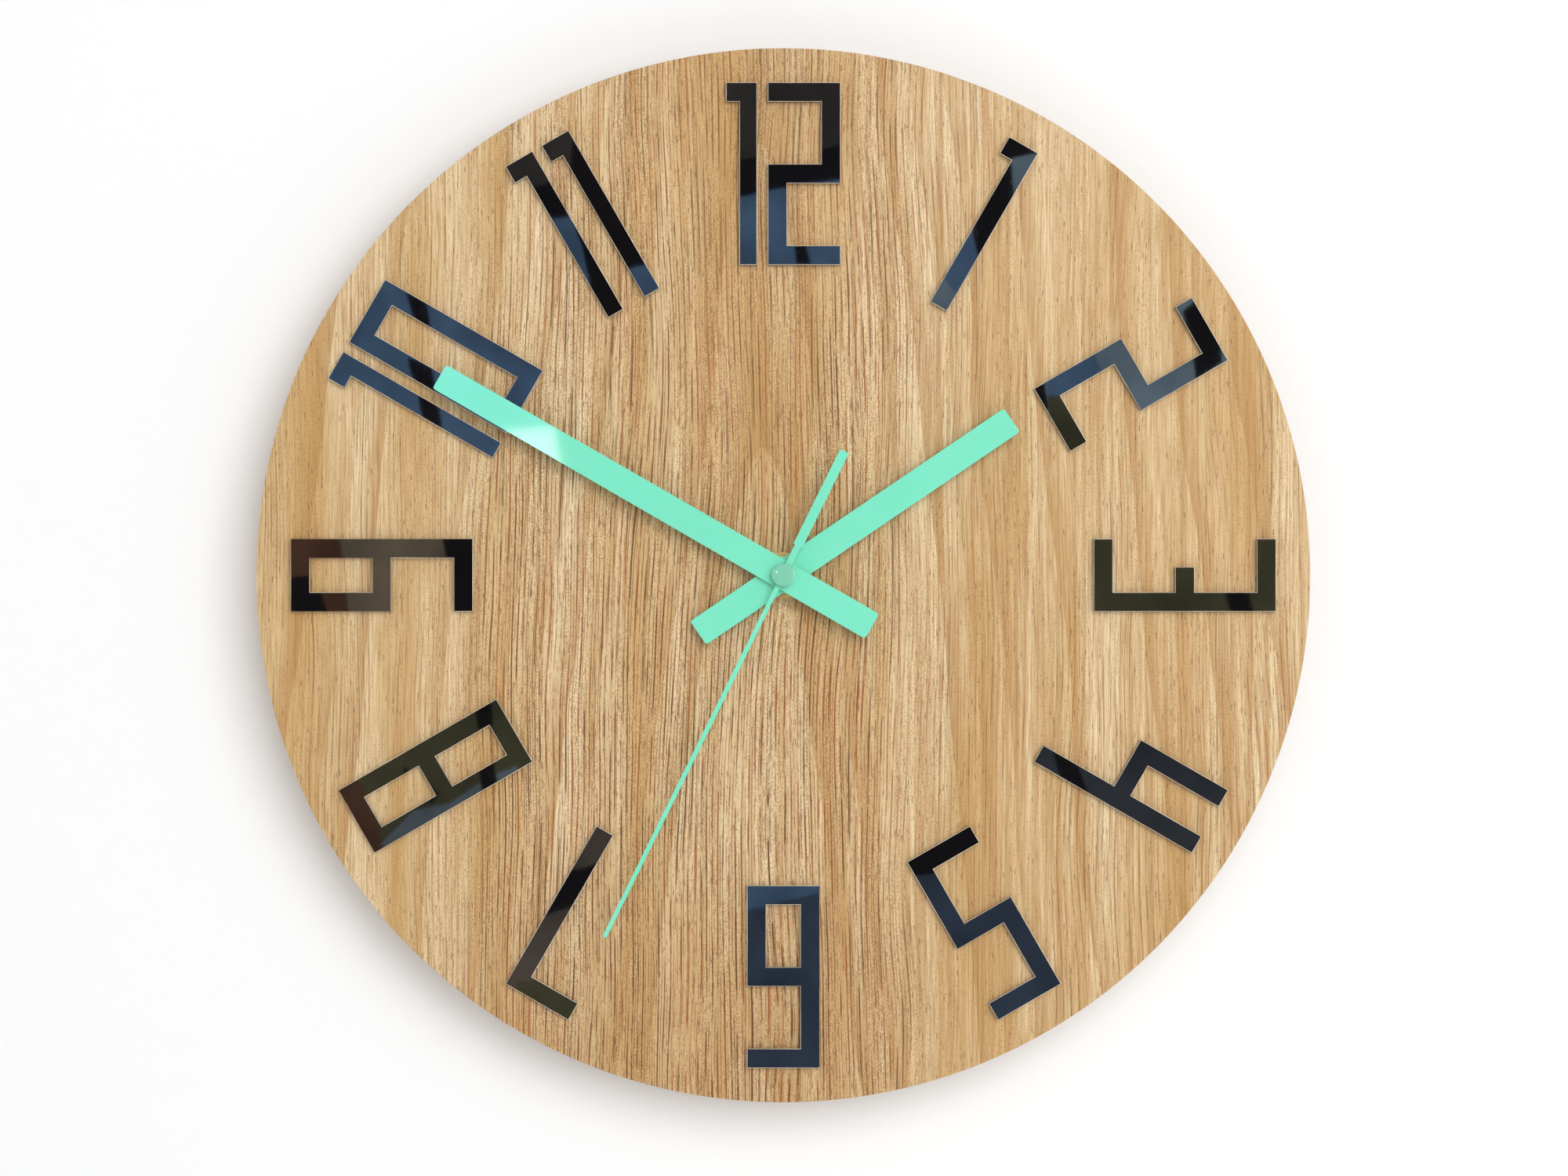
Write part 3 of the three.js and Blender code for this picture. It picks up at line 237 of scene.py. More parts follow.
class Shader(Graph):
    """Builds one material round a Principled shader."""

    def __init__(self, name: str) -> None:
        """Starts the material.

        Args:
            name: Name of the new material.
        """
        self.material = bpy.data.materials.new(name)
        super().__init__(self.material)
        self.surface = next(node for node in self.tree.nodes if node.type == "BSDF_PRINCIPLED")

    @cached_property
    def place(self) -> Socket:
        """Place on the object in millimetres of the frame."""
        return self.scaled(self.node("TexCoord").outputs["Object"], (1 / MM,) * 3)

    @cached_property
    def axes(self) -> tuple[Field, ...]:
        """The three parts of the place."""
        return self.split(self.place)

    def scaled(self, place: Socket, scale: Corner) -> Socket:
        """Multiplies a place part by part."""
        return self.node("VectorMath", place, scale, operation="MULTIPLY").outputs[0]

    def split(self, vector: Socket) -> tuple[Field, ...]:
        """Gives the three parts of a vector or colour."""
        return tuple(Field(self, part) for part in self.node("SeparateXYZ", vector).outputs)

    def join(self, *parts: Number) -> Socket:
        """Makes a vector of three parts."""
        return self.node("CombineXYZ", *parts).outputs[0]

    def distance(self, centre: Point) -> Field:
        """Gives the distance to a line along y, in millimetres: the root of x^2 + z^2 from it."""
        across, up = self.axes[0] - centre[0], self.axes[2] - centre[1]
        return (across * across + up * up).math("SQRT")

    def noise(self, pattern: Pattern, place: Socket | None = None) -> Field:
        """Gives soft noise from 0 to 1.

        Args:
            pattern: The kind of noise.
            place: Where it is read, if not at the place on the object.

        Returns:
            The noise.
        """
        waves = pattern.waves if isinstance(pattern.waves, tuple) else (pattern.waves,) * 3
        vector = self.scaled(self.place if place is None else place, waves)
        made = self.node("TexNoise", vector)
        self.fill(made, Scale=1.0, Detail=pattern.detail, Roughness=pattern.roughness)
        return Field(self, made.outputs[0])

    def shown(self, pattern: Pattern) -> Field:
        """Gives noise as the share at which its pattern shows."""
        return self.noise(pattern).span(*pattern.levels)

    def dashes(self, dashes: Dashes, chance: Field) -> Field:
        """Gives scattered upright dashes.

        The sheet is cut into cells round random points. A cell whose random number is below the
        chance holds a dash, which fades from half its radius to the whole of it.

        Args:
            dashes: Size of the cells and of a dash.
            chance: Share of the cells that hold a dash.

        Returns:
            1 inside a dash and 0 outside.
        """
        x, _, z = self.axes
        flat = self.join(x * dashes.across, z * dashes.along, 0.0)
        made = self.fill(self.node("TexVoronoi", flat, voronoi_dimensions="2D"), Scale=1.0)
        shape = Field(self, made.outputs["Distance"])
        held = self.split(made.outputs["Color"])[0].math("LESS_THAN", chance)
        return shape.span(dashes.radius / 2, dashes.radius, 1.0, 0.0) * held

    def random(self, number: Field) -> Field:
        """Gives a random number from 0 to 1 that is the same for the same input."""
        made = self.fill(self.node("TexWhiteNoise", noise_dimensions="1D"), W=number)
        return Field(self, made.outputs["Value"])

    def layered(self, base: Value, *layers: tuple[Number, Value]) -> Value:
        """Lays colours over one another.

        Args:
            base: The lowest colour.
            layers: Share and colour of each layer, from the lowest up.

        Returns:
            The colour on top.
        """
        for share, colour in layers:
            made = self.node("Mix", share, data_type="RGBA")
            for socket, paint in zip(made.inputs[6:8], (base, colour), strict=True):
                self.feed(socket, linear(paint) if isinstance(paint, tuple) else paint)
            base = made.outputs[2]
        return base

    def relief(self, height: Field, depth: float, strength: float = 1.0) -> None:
        """Bumps the surface by a height, where 1 stands for the depth in metres."""
        bump = self.fill(self.node("Bump"), Strength=strength, Distance=depth, Height=height)
        self.fill(self.surface, Normal=bump)

    def finish(self, **values: Value) -> Material:
        """Fills the surface shader's inputs and gives the material."""
        self.fill(self.surface, **values)
        return self.material


@dataclass(frozen=True)
class OakFinish:
    """Clear-sealed oak veneer with upright grain, ring arches and one zone of dense dark lines.

    Lengths are millimetres. A pair ending in ink or share is for beside and inside that zone.
    """

    name: str
    light: Colour = (232, 211, 171)
    tan: Colour = (200, 165, 110)
    ring: Colour = (172, 127, 68)
    line: Colour = (102, 60, 24)
    rust: Colour = (148, 86, 36)
    pore: Colour = (120, 80, 40)
    roughness: float = 0.42
    heart_offset: float = 8.0
    heart_depth: float = 15.0
    ring_spacing: float = 9.5
    ring_width: float = 0.75
    ring_vigour: Levels = (0.2, 0.9, 0.1, 1.0)
    ring_ink: float = 0.62
    taper: float = 0.1
    line_spacing: float = 1.9
    line_width: float = 0.33
    line_core: float = 0.3
    line_length: float = 26.0
    line_floor: float = 0.4
    line_sway: float = 0.9
    line_ink: Point = (0.5, 1.0)
    sway: Pattern = Pattern((7.31, 1.0, 0.3), 1.0)
    breaks: Pattern = Pattern((5.17, 3.0, 1.0), 4.0, 0.6, (0.4, 0.56))
    fine_size: float = 0.52
    fine_ink: Point = (0.3, 0.65)
    dense_offset: float = 30.0
    dense_sides: Levels = (48.0, 94.0, 1.0, 0.0)
    dense_top: Levels = (-60.0, 150.0, 1.0, 0.75)
    dense_foot: Levels = (-150.0, -70.0, 0.4, 0.0)
    streak_side: Levels = (-110.0, 60.0, 0.2, 0.62)
    strand_ink: Point = (0.66, 0.48)
    pale_specks: Levels = (0.34, 0.5, 0.6, 0.0)
    pore_share: Point = (0.4, 1.0)
    wander_reach: float = 24.0
    wander: Pattern = Pattern((0.012, 0.0, 0.0045))
    wobble_reach: float = 3.0
    wobble: Pattern = Pattern((0.05, 0.0, 0.009))
    broad: Pattern = Pattern((0.036, 0.0, 0.0026), 3.0, 0.6, (0.34, 0.64))
    streak: Pattern = Pattern((0.38, 0.0, 0.005), 3.0, 0.6, (0.42, 0.66))
    fibre: Pattern = Pattern((1.9, 0.0, 0.07), 3.0, 0.65, (0.35, 0.7))
    speckle: Pattern = Pattern((2.4, 0.0, 1.6), 2.0, 0.7, (0.5, 0.66))
    clusters: Pattern = Pattern((0.12, 0.0, 0.012), 3.0, 0.6, (0.34, 0.62, 0.15, 0.85))
    tint: Pattern = Pattern((0.45, 0.0, 0.01), 1.0, levels=(0.42, 0.62))
    patches: Pattern = Pattern((0.055, 0.0, 0.004), 2.0, 0.6, (0.36, 0.6, 0.25, 1.0))
    pores: Dashes = Dashes(1.9, 0.8, 0.25)
    pore_chance: float = 0.7
    pore_ink: float = 0.6
    ticks: Dashes = Dashes(1.5, 0.24, 0.2)
    tick_chance: float = 0.4
    tick_ink: float = 0.6
    vessels: Dashes = Dashes(0.9, 0.1, 0.14)
    vessel_ink: float = 0.8
    fibre_height: float = 0.25
    line_depth: float = 0.4
    depth: float = 35 * MICRON
    haze: float = 0.3

    def rings(self, shader: Shader, across: Field, z: Field) -> Field:
        """Draws growth rings as cones round an upright pith behind the sheet.

        A ring's number is the distance to the pith plus a share of the height, over the spacing.

        Args:
            shader: The material being built.
            across: Bent place across the grain in millimetres.
            z: Height in millimetres.

        Returns:
            How dark a ring is, fading outwards from where it starts.
        """
        from_heart = across + self.heart_offset
        distance = (from_heart * from_heart + self.heart_depth**2).math("SQRT")
        growth = (distance + z * self.taper) / self.ring_spacing
        band = growth.math("FRACT").span(0.0, self.ring_width, 1.0, 0.0)
        return band * shader.random(growth.math("FLOOR")).span(*self.ring_vigour)

    def grain_lines(self, shader: Shader, across: Field, z: Field, size: float) -> Field:
        """Draws thin upright lines, one in each column of the sheet.

        Column n holds a line whose place is noise of n and of z over the line's length, and whose
        darkness is a second noise of them.

        Args:
            shader: The material being built.
            across: Bent place across the grain in millimetres.
            z: Height in millimetres.
            size: Size of the pattern beside the main one.

        Returns:
            1 on a line and 0 beside it.
        """
        spacing, length = self.line_spacing * size, self.line_length * size
        width = self.line_width * (self.line_floor + (1 - self.line_floor) * size)
        column = across / spacing
        row = shader.join(column.math("FLOOR"), size, z / length)
        sway = shader.noise(self.sway, row).centred(self.line_sway)
        run = shader.noise(self.breaks, row).span(*self.breaks.levels)
        gap = abs(column.math("FRACT") - (sway + 0.5)) * spacing
        return gap.span(width * self.line_core, width, 1.0, 0.0) * run

    def build(self) -> Material:
        """Lays rings, streaks, strands, specks, lines and pores over the broad tones.

        Returns:
            The material.
        """
        shader = Shader(self.name)
        x, _, z = shader.axes
        wander = shader.noise(self.wander).centred(self.wander_reach)
        across = x + wander + shader.noise(self.wobble).centred(self.wobble_reach)
        dense = abs(across + self.dense_offset).span(*self.dense_sides) * z.span(*self.dense_top)
        patches = shader.shown(self.patches).math("MAXIMUM", dense)
        line = self.grain_lines(shader, across, z, 1.0) * patches
        fine = self.grain_lines(shader, across, z, self.fine_size) * patches
        density = shader.shown(self.clusters) * dense.between(*self.pore_share)
        pores = shader.dashes(self.pores, density * self.pore_chance)
        ticks = shader.dashes(self.ticks, dense * self.tick_chance)
        vessels = shader.dashes(self.vessels, density)
        fibre = shader.noise(self.fibre)
        speckle = shader.noise(self.speckle)
        strands = fibre.span(*self.fibre.levels) * dense.between(*self.strand_ink)
        ink = shader.layered(self.line, (shader.shown(self.tint), self.rust))
        colour = shader.layered(
            self.tan,
            (shader.shown(self.broad), self.light),
            (self.rings(shader, across, z) * self.ring_ink, self.ring),
            (shader.shown(self.streak) * across.span(*self.streak_side), self.ring),
            (strands, self.ring),
            (dense * z.span(*self.dense_foot), self.ring),
            (speckle.span(*self.speckle.levels) * density, self.ring),
            (speckle.span(*self.pale_specks) * density, self.light),
            (fine * dense.between(*self.fine_ink), ink),
            (line * dense.between(*self.line_ink), ink),
            (ticks * self.tick_ink, ink),
            (vessels * self.vessel_ink, self.pore),
            (pores * self.pore_ink, self.pore),
        )
        holes = pores.math("MAXIMUM", vessels)
        height = fibre * self.fibre_height - line * self.line_depth - holes
        shader.relief(height, self.depth, strength=0.8)
        matt = holes.between(self.roughness, self.roughness + self.haze)
        return shader.finish(Base_Color=colour, Roughness=matt, IOR=1.5, Specular_IOR_Level=0.35)


@dataclass(frozen=True)
class PlyFinish:
    """Birch plywood whose plies show as layers at the sanded edge."""

    name: str
    back: float
    ply: float
    pale: Colour = (201, 165, 118)
    dark: Colour = (152, 112, 70)
    glue: Colour = (92, 62, 38)
    glue_line: Levels = (0.44, 0.5)
    glue_ink: float = 0.7
    long_grain: Pattern = Pattern((0.12, 3.0, 0.12), 3.0, levels=(0.35, 0.7, 0.0, 0.5))
    end_grain: Pattern = Pattern(2.4, 3.0, 0.65, (0.35, 0.65))
    depth: float = 40 * MICRON

    def build(self) -> Material:
        """Alternates long grain and end grain by depth, with a thin glue line between plies.

        Returns:
            The material.
        """
        shader = Shader(self.name)
        layers = (shader.axes[1] + self.back) / self.ply
        odd = layers.math("FLOOR").math("MODULO", 2.0)
        seam = abs(layers.math("FRACT") - 0.5).span(*self.glue_line)
        end_grain = shader.noise(self.end_grain)
        ends = (end_grain.span(*self.end_grain.levels), self.glue)
        pale = shader.layered(self.pale, (shader.shown(self.long_grain), self.dark))
        dark = shader.layered(self.dark, ends)
        colour = shader.layered(pale, (odd, dark), (seam * self.glue_ink, self.glue))
        shader.relief(end_grain, self.depth, strength=0.5)
        return shader.finish(Base_Color=colour, Roughness=0.72)


@dataclass(frozen=True)
class SheetFinish:
    """Mirror-black cast sheet, slightly wavy, with faint dust."""

    name: str
    colour: Colour = (9, 10, 14)
    dust: Colour = (150, 145, 140)
    waves: Pattern = Pattern(0.05, 1.0)
    wave_depth: float = 14 * MICRON
    specks: Pattern = Pattern(0.8, 4.0, 0.7, (0.62, 0.8, 0.0, 0.05))
    haze: Levels = (0.5, 0.8, 0.015, 0.05)

    def build(self) -> Material:
        """Gives a dark sheet a sharp reflection that bends a little from place to place.

        Returns:
            The material.
        """
        shader = Shader(self.name)
        specks = shader.noise(self.specks)
        colour = shader.layered(self.colour, (specks.span(*self.specks.levels), self.dust))
        shader.relief(shader.noise(self.waves), self.wave_depth)
        return shader.finish(Base_Color=colour, Roughness=specks.span(*self.haze), IOR=1.49)


@dataclass(frozen=True)
class PaintedHighlightRimFinish:
    """Laser-cut rim of the sheet, coloured pale as a painted highlight that draws a thin bright
    line.
    """

    name: str
    # The pale colour is a painted highlight: it draws the bright line along the cut edge.
    pale: Colour = (232, 214, 190)
    dark: Colour = (150, 134, 124)
    run: Pattern = Pattern(0.09, levels=(0.3, 0.7, 0.0, 0.55))
    ticks: Pattern = Pattern((2.2, 0.2, 2.2))
    tick_depth: float = 8 * MICRON

    def build(self) -> Material:
        """Varies the pale colour of the edge, a painted highlight, along its length.

        Returns:
            The material.
        """
        shader = Shader(self.name)
        colour = shader.layered(self.pale, (shader.shown(self.run), self.dark))
        shader.relief(shader.noise(self.ticks), self.tick_depth, strength=0.5)
        return shader.finish(Base_Color=colour, Roughness=0.28, IOR=1.49)


@dataclass(frozen=True)
class PaintFinish:
    """Sprayed paint under a clear gloss coat, with a faint orange-peel texture."""

    name: str
    colour: Colour
    worn: Colour
    mottle: Pattern = Pattern(0.05, levels=(0.3, 0.7, 0.0, 0.2))
    gloss: Levels = (0.3, 0.7, 0.32, 0.4)
    specks: Pattern = Pattern(3.0, 3.0, 0.7, (0.66, 0.8, 0.0, 0.35))
    peel: Pattern = Pattern(1.4)
    peel_depth: float = 3 * MICRON

    def build(self) -> Material:
        """Mottles the paint slightly and thins it toward the worn tone in specks.

        Returns:
            The material.
        """
        shader = Shader(self.name)
        mottle = shader.noise(self.mottle)
        mottled = (mottle.span(*self.mottle.levels), self.worn)
        colour = shader.layered(self.colour, mottled, (shader.shown(self.specks), self.worn))
        shader.relief(shader.noise(self.peel), self.peel_depth, strength=0.35)
        return shader.finish(
            Base_Color=colour,
            Roughness=mottle.span(*self.gloss),
            Specular_IOR_Level=0.2,
            Coat_Weight=1.0,
            Coat_Roughness=0.03,
            Coat_IOR=1.5,
        )


class MetalGrain(Enum):
    """Tool marks: rings round the hands' axis, lines along z, or fine grain."""

    TURNED = Pattern((9.0, 9.0, 1.0), 3.0)
    ROLLED = Pattern((5.0, 5.0, 0.15), 3.0)
    PLATED = Pattern(4.0, 3.0)


@dataclass(frozen=True)
class MetalFinish:
    """Bare metal with tool marks and light tarnish."""

    name: str
    colour: Colour
    tarnish: Colour
    grain: MetalGrain
    roughness: float = 0.3
    metal: float = 1.0
    patches: Pattern = Pattern(0.22, 4.0, 0.6, (0.42, 0.72, 0.0, 0.7))
    mark_gloss: float = 0.25
    polish: float = 0.12
    mark_depth: float = 6 * MICRON

    def build(self) -> Material:
        """Darkens the metal in soft patches and follows the tool marks with gloss and bump.

        Returns:
            The material.
        """
        shader = Shader(self.name)
        place = shader.place
        if self.grain is MetalGrain.TURNED:
            place = shader.join(shader.distance((0.0, 0.0)), shader.axes[1], 0.0)
        marks = shader.noise(self.grain.value, place)
        colour = shader.layered(self.colour, (shader.shown(self.patches), self.tarnish))
        gloss = marks * self.mark_gloss + (self.roughness - self.polish)
        shader.relief(marks, self.mark_depth, strength=0.6)
        return shader.finish(Base_Color=colour, Roughness=gloss, Metallic=self.metal)


@dataclass(frozen=True)
class Ring:
    """A round groove in a moulded face, in millimetres."""

    centre: Point
    radius: float
    width: float = 0.5

    def gap(self, shader: Shader) -> Field:
        """Gives the distance to the middle of the groove."""
        return abs(shader.distance(self.centre) - self.radius)


@dataclass(frozen=True)
class Rectangle:
    """A groove along a rectangle, or a sunk bar where it has no height to go round."""

    centre: Point
    half: Point
    width: float = 0.5

    def gap(self, shader: Shader) -> Field:
        """Gives the distance to its middle: the larger of the two distances past the half size."""
        (x, _, z), (centre_x, centre_z), (wide, tall) = shader.axes, self.centre, self.half
        return abs((abs(x - centre_x) - wide).math("MAXIMUM", abs(z - centre_z) - tall))


@dataclass(frozen=True)
class MouldedFinish:
    """Moulded plastic or rubber with a spark-eroded texture, its height in microns, and marks."""

    name: str
    colour: Colour
    worn: Colour
    roughness: float
    texture: float
    scatter: float = 0.0
    marks: tuple[Ring | Rectangle, ...] = ()
    mark_depth: float = 0.25 * MM
    mark_sides: Point = (0.3, 0.6)
    mark_ink: float = 0.6
    clouds: Pattern = Pattern(0.07, 3.0, levels=(0.35, 0.7, 0.0, 0.35))
    pebble: Pattern = Pattern(2.6, 3.0, 0.6, (0.6, 0.8, 0.0, 0.2))
    gloss_from: Point = (0.3, 0.7)
    gloss_shift: Point = (-0.06, 0.1)

    def build(self) -> Material:
        """Adds fine pebbling and flow clouds in the worn tone, and fills the grooves of sunk marks
        with that second tone, darker than the white knob and lighter than the black cover.

        Returns:
            The material.
        """
        shader = Shader(self.name)
        pebble = shader.noise(self.pebble)
        layers = [
            (shader.shown(self.clouds), self.worn),
            (pebble.span(*self.pebble.levels), self.worn),
        ]
        height = pebble * (self.texture * MICRON / self.mark_depth)
        # Each groove is drawn in the second tone: darker in the white knob's grooves, lighter in
        # the black cover's.
        for mark in self.marks:
            floor, side = (mark.width * share for share in self.mark_sides)
            groove = mark.gap(shader).span(floor, side, 1.0, 0.0)
            layers.append((groove * self.mark_ink, self.worn))
            height = height - groove
        shader.relief(height, self.mark_depth, strength=0.6)
        gloss = (self.roughness + shift for shift in self.gloss_shift)
        return shader.finish(
            Base_Color=shader.layered(self.colour, *layers),
            Roughness=pebble.span(*self.gloss_from, *gloss),
            Subsurface_Weight=self.scatter,
            Subsurface_Scale=0.4 * MM,
        )


@dataclass(frozen=True)
class JacketFinish:
    """Plain battery jacket over a steel can. Places along the cell are millimetres."""

    name: str
    bare_from: float
    band_from: float
    jacket: Colour = (88, 97, 108)
    band: Colour = (196, 199, 202)
    steel: Colour = (188, 188, 186)
    scuff: Pattern = Pattern((0.9, 0.25, 0.25), 5.0, 0.7, (0.62, 0.78, 0.0, 0.5))
    scuff_depth: float = 6 * MICRON
    gloss: Levels = (0.35, 0.7, 0.22, 0.42)

    def build(self) -> Material:
        """Picks jacket, pale band or bare steel by the place along the cell.

        Returns:
            The material.
        """
        shader = Shader(self.name)
        x = shader.axes[0]
        ends = abs(x).math("GREATER_THAN", self.bare_from)
        pale = (x * -1.0).math("GREATER_THAN", self.band_from)
        scuff = shader.noise(self.scuff)
        scuffed = scuff.span(*self.scuff.levels)
        layers = ((pale, self.band), (scuffed, self.band), (ends, self.steel))
        colour = shader.layered(self.jacket, *layers)
        shader.relief(scuff, self.scuff_depth, strength=0.4)
        return shader.finish(Base_Color=colour, Roughness=scuff.span(*self.gloss), Metallic=ends)


@dataclass(frozen=True)
class BoardFinish:
    """Solder-masked circuit board with copper tracks under the mask."""

    name: str
    mask: Colour = (34, 92, 52)
    track: Colour = (72, 138, 80)
    flow: Pattern = Pattern(0.4, 1.0)
    track_count: float = 9.0
    track_side: Levels = (0.45, 0.55)
    weave: Pattern = Pattern(3.2)
    weave_height: float = 0.3
    depth: float = 20 * MICRON
    gloss: Levels = (0.3, 0.7, 0.28, 0.42)

    def build(self) -> Material:
        """Draws a track over the upper half of each step of a noise, on the board's weave.

        Returns:
            The material.
        """
        shader = Shader(self.name)
        steps = shader.noise(self.flow) * self.track_count
        tracks = steps.math("FRACT").span(*self.track_side)
        weave = shader.noise(self.weave)
        shader.relief(tracks + weave * self.weave_height, self.depth, strength=0.6)
        colour = shader.layered(self.mask, (tracks, self.track))
        return shader.finish(Base_Color=colour, Roughness=weave.span(*self.gloss))


# Surfaces.


def added(name: str, data: bpy.types.ID) -> Piece:
    """Puts new data into the scene.

    Args:
        name: Name of the new object.
        data: Its mesh, light or camera.

    Returns:
        The object, at the origin and unturned.
    """
    made = bpy.data.objects.new(name, data)
    bpy.context.scene.collection.objects.link(made)
    return made


def smooth_piece(name: str, mesh: bpy.types.Mesh, smooth_angle: float = 40.0) -> Piece:
    """Puts a mesh into the scene, smooth but for its sharper edges.

    Args:
        name: Name of the new piece.
        mesh: Its mesh, in the frame.
        smooth_angle: Edges above this many degrees stay sharp.

    Returns:
        The piece.
    """
    mesh.shade_smooth()
    mesh.set_sharp_from_angle(angle=math.radians(smooth_angle))
    return added(name, mesh)


@dataclass(frozen=True)
class Surface:
    """Points and faces of one closed surface."""

    points: np.ndarray
    faces: list[list[int]]

    def piece(self, name: str) -> Piece:
        """Makes a piece with outward normals.

        Args:
            name: Name of the new piece.

        Returns:
            The piece, at the origin and unturned.
        """
        mesh = bpy.data.meshes.new(name)
        mesh.from_pydata(self.points.tolist(), [], self.faces)
        shape = bmesh.new()
        shape.from_mesh(mesh)
        bmesh.ops.recalc_face_normals(shape, faces=shape.faces)
        shape.to_mesh(mesh)
        shape.free()
        return smooth_piece(name, mesh)

    def turned_along_x(self, height: float, depth: float) -> "Surface":
        """Lays a surface turned round Y along X: (x, y, z) goes to (y, depth + x, height + z)."""
        x, y, z = self.points.T
        return Surface(np.stack([y, depth + x, height + z], axis=-1), self.faces)


def rounded(corners: Sequence[Point], radius: float, closed: bool = True) -> np.ndarray:
    """Rounds the corners of an outline.

    The rounding of corner C starts at S and ends at E, which lie on its two sides at the given
    distance from it, or at half a side where that is shorter. Its points are those of the parabola
    (1 - t)^2 S + 2 t (1 - t) C + t^2 E for t from 0 to 1. A point that falls on the one before is
    dropped.

    Args:
        corners: The outline's corners in order.
        radius: Distance from each corner at which the rounding starts.
        closed: Whether the last corner leads back to the first. If not, both stay sharp.

    Returns:
        The points of the rounded outline, one in each row.
    """
    line = np.array(corners, float)
    inner = line if closed else line[1:-1]
    before = np.roll(line, 1, 0) if closed else line[:-2]
    after = np.roll(line, -1, 0) if closed else line[2:]
    sides = np.stack([before - inner, after - inner])
    lengths = np.maximum(np.hypot(sides[..., :1], sides[..., 1:]), MICRON)
    start, end = (inner + sides * np.minimum(radius / lengths, 0.5))[:, :, None]
    t = np.linspace(0.0, 1.0, ROUNDING_STEPS + 1)[:, None]
    arcs = (1 - t) ** 2 * start + 2 * t * (1 - t) * inner[:, None] + t**2 * end
    points = arcs.reshape(-1, 2)
    if not closed:
        points = np.concatenate([line[:1], points, line[-1:]])
    gaps = np.hypot(*(points - np.roll(points, 1, 0)).T)
    return points[gaps > MICRON]


def revolved(outline: np.ndarray, steps: int, closed: bool = True) -> Surface:
    """Turns an outline of (radius, y) points round the Y axis.

    Point (r, y) at angle a lies at x = r cos a, z = r sin a. Neighbouring points and angles bound
    one four-sided face. An open outline starts and ends near the axis, and a flat face closes each
    end.

    Args:
        outline: Outline with radii above zero, one point in each row.
        steps: Number of faces round the axis.
        closed: Whether the last point leads back to the first, as on a ring.

    Returns:
        The closed surface.
    """
    count = len(outline)
    angles = np.arange(steps) * 2 * math.pi / steps
    radius, height = outline[:, :1], outline[:, 1:]
    x, y, z = np.broadcast_arrays(radius * np.cos(angles), height, radius * np.sin(angles))
    spots = np.arange(count * steps).reshape(count, steps)
    rows = np.arange(count if closed else count - 1)
    here, there = spots[rows], spots[(rows + 1) % count]
    quads = np.stack([here, np.roll(here, -1, 1), np.roll(there, -1, 1), there], axis=-1)
    faces = quads.reshape(-1, 4).tolist() + ([] if closed else spots[[0, -1]].tolist())
    return Surface(np.stack([x, y, z], axis=-1).reshape(-1, 3), faces)


def flat_ring(node: str, bore: float, edge: float, steps: int) -> Surface:
    """Builds a flat ring as a turned rectangle with rounded corners.

    Args:
        node: Name of the solid that gives its outer radius and its thickness.
        bore: Its inner radius.
        edge: Distance from each corner at which the rounding starts.
        steps: Number of faces round the axis.

    Returns:
        The surface of the ring.
    """
    low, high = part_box(node)
    corners = [(bore, low.y), (high.x, low.y), (high.x, high.y), (bore, high.y)]
    return revolved(rounded(corners, edge), steps)


@dataclass(frozen=True)
class Easing:
    """Copies solids with eased edges.

    Faces that fold by less than the flat angle are joined. Edges that fold by more than the other
    angle are eased. Both are degrees.
    """

    width: float
    segments: int = 2
    angle: float = 32.0
    front_only: bool = False
    edge_slot: int = -1
    flat: float = 0.5

    def copy(self, node: str) -> Piece:
        """Copies a solid with its points merged, its flat faces joined and its edges eased.

        Args:
            node: Name of the solid.

        Returns:
            The copy, with outward normals.
        """
        flat, fold = math.radians(self.flat), math.radians(self.angle)
        shape = bmesh.new()
        shape.from_mesh(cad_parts[node].data)
        bmesh.ops.remove_doubles(shape, verts=shape.verts, dist=MICRON)
        bmesh.ops.dissolve_limit(shape, angle_limit=flat, verts=shape.verts, edges=shape.edges)
        bmesh.ops.recalc_face_normals(shape, faces=shape.faces)
        if self.front_only:
            front = min(vertex.co.y for vertex in shape.verts) + MICRON
            weights = shape.edges.layers.float.new("bevel_weight_edge")
            for edge in shape.edges:
                in_front = all(end.co.y < front for end in edge.verts)
                edge[weights] = float(in_front and edge.calc_face_angle(0.0) > fold)
        mesh = bpy.data.meshes.new(node + "_look")
        shape.to_mesh(mesh)
        shape.free()
        made = smooth_piece(node + "_look", mesh, self.angle)
        bevel = made.modifiers.new("eased_edges", "BEVEL")
        bevel.width = self.width
        bevel.segments = self.segments
        bevel.limit_method = "WEIGHT" if self.front_only else "ANGLE"
        bevel.angle_limit = fold
        bevel.material = self.edge_slot
        return made


def stand_in(piece: Piece, node: str, body: str, slot: str, *materials: Material) -> Piece:
    """Dresses a piece and puts it in the place of a solid.

    Args:
        piece: The piece.
        node: Name of the solid that it stands for.
        body: Name of the body that it rides on.
        slot: Not used.
        materials: Its materials in order.

    Returns:
        The same piece.
    """
    for material in materials:
        piece.data.materials.append(material)
    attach(piece, body)
    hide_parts(node)
    return piece


def recoat(node: str, material: Material) -> Piece:
    """Gives a solid that is shown as it is a detailed material in place of its plain one.

    Args:
        node: Name of the solid.
        material: Its new material.

    Returns:
        The solid's own object.
    """
    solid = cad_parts[node]
    for slot in solid.material_slots:
        slot.material = material
    return solid


# Sub-assemblies.


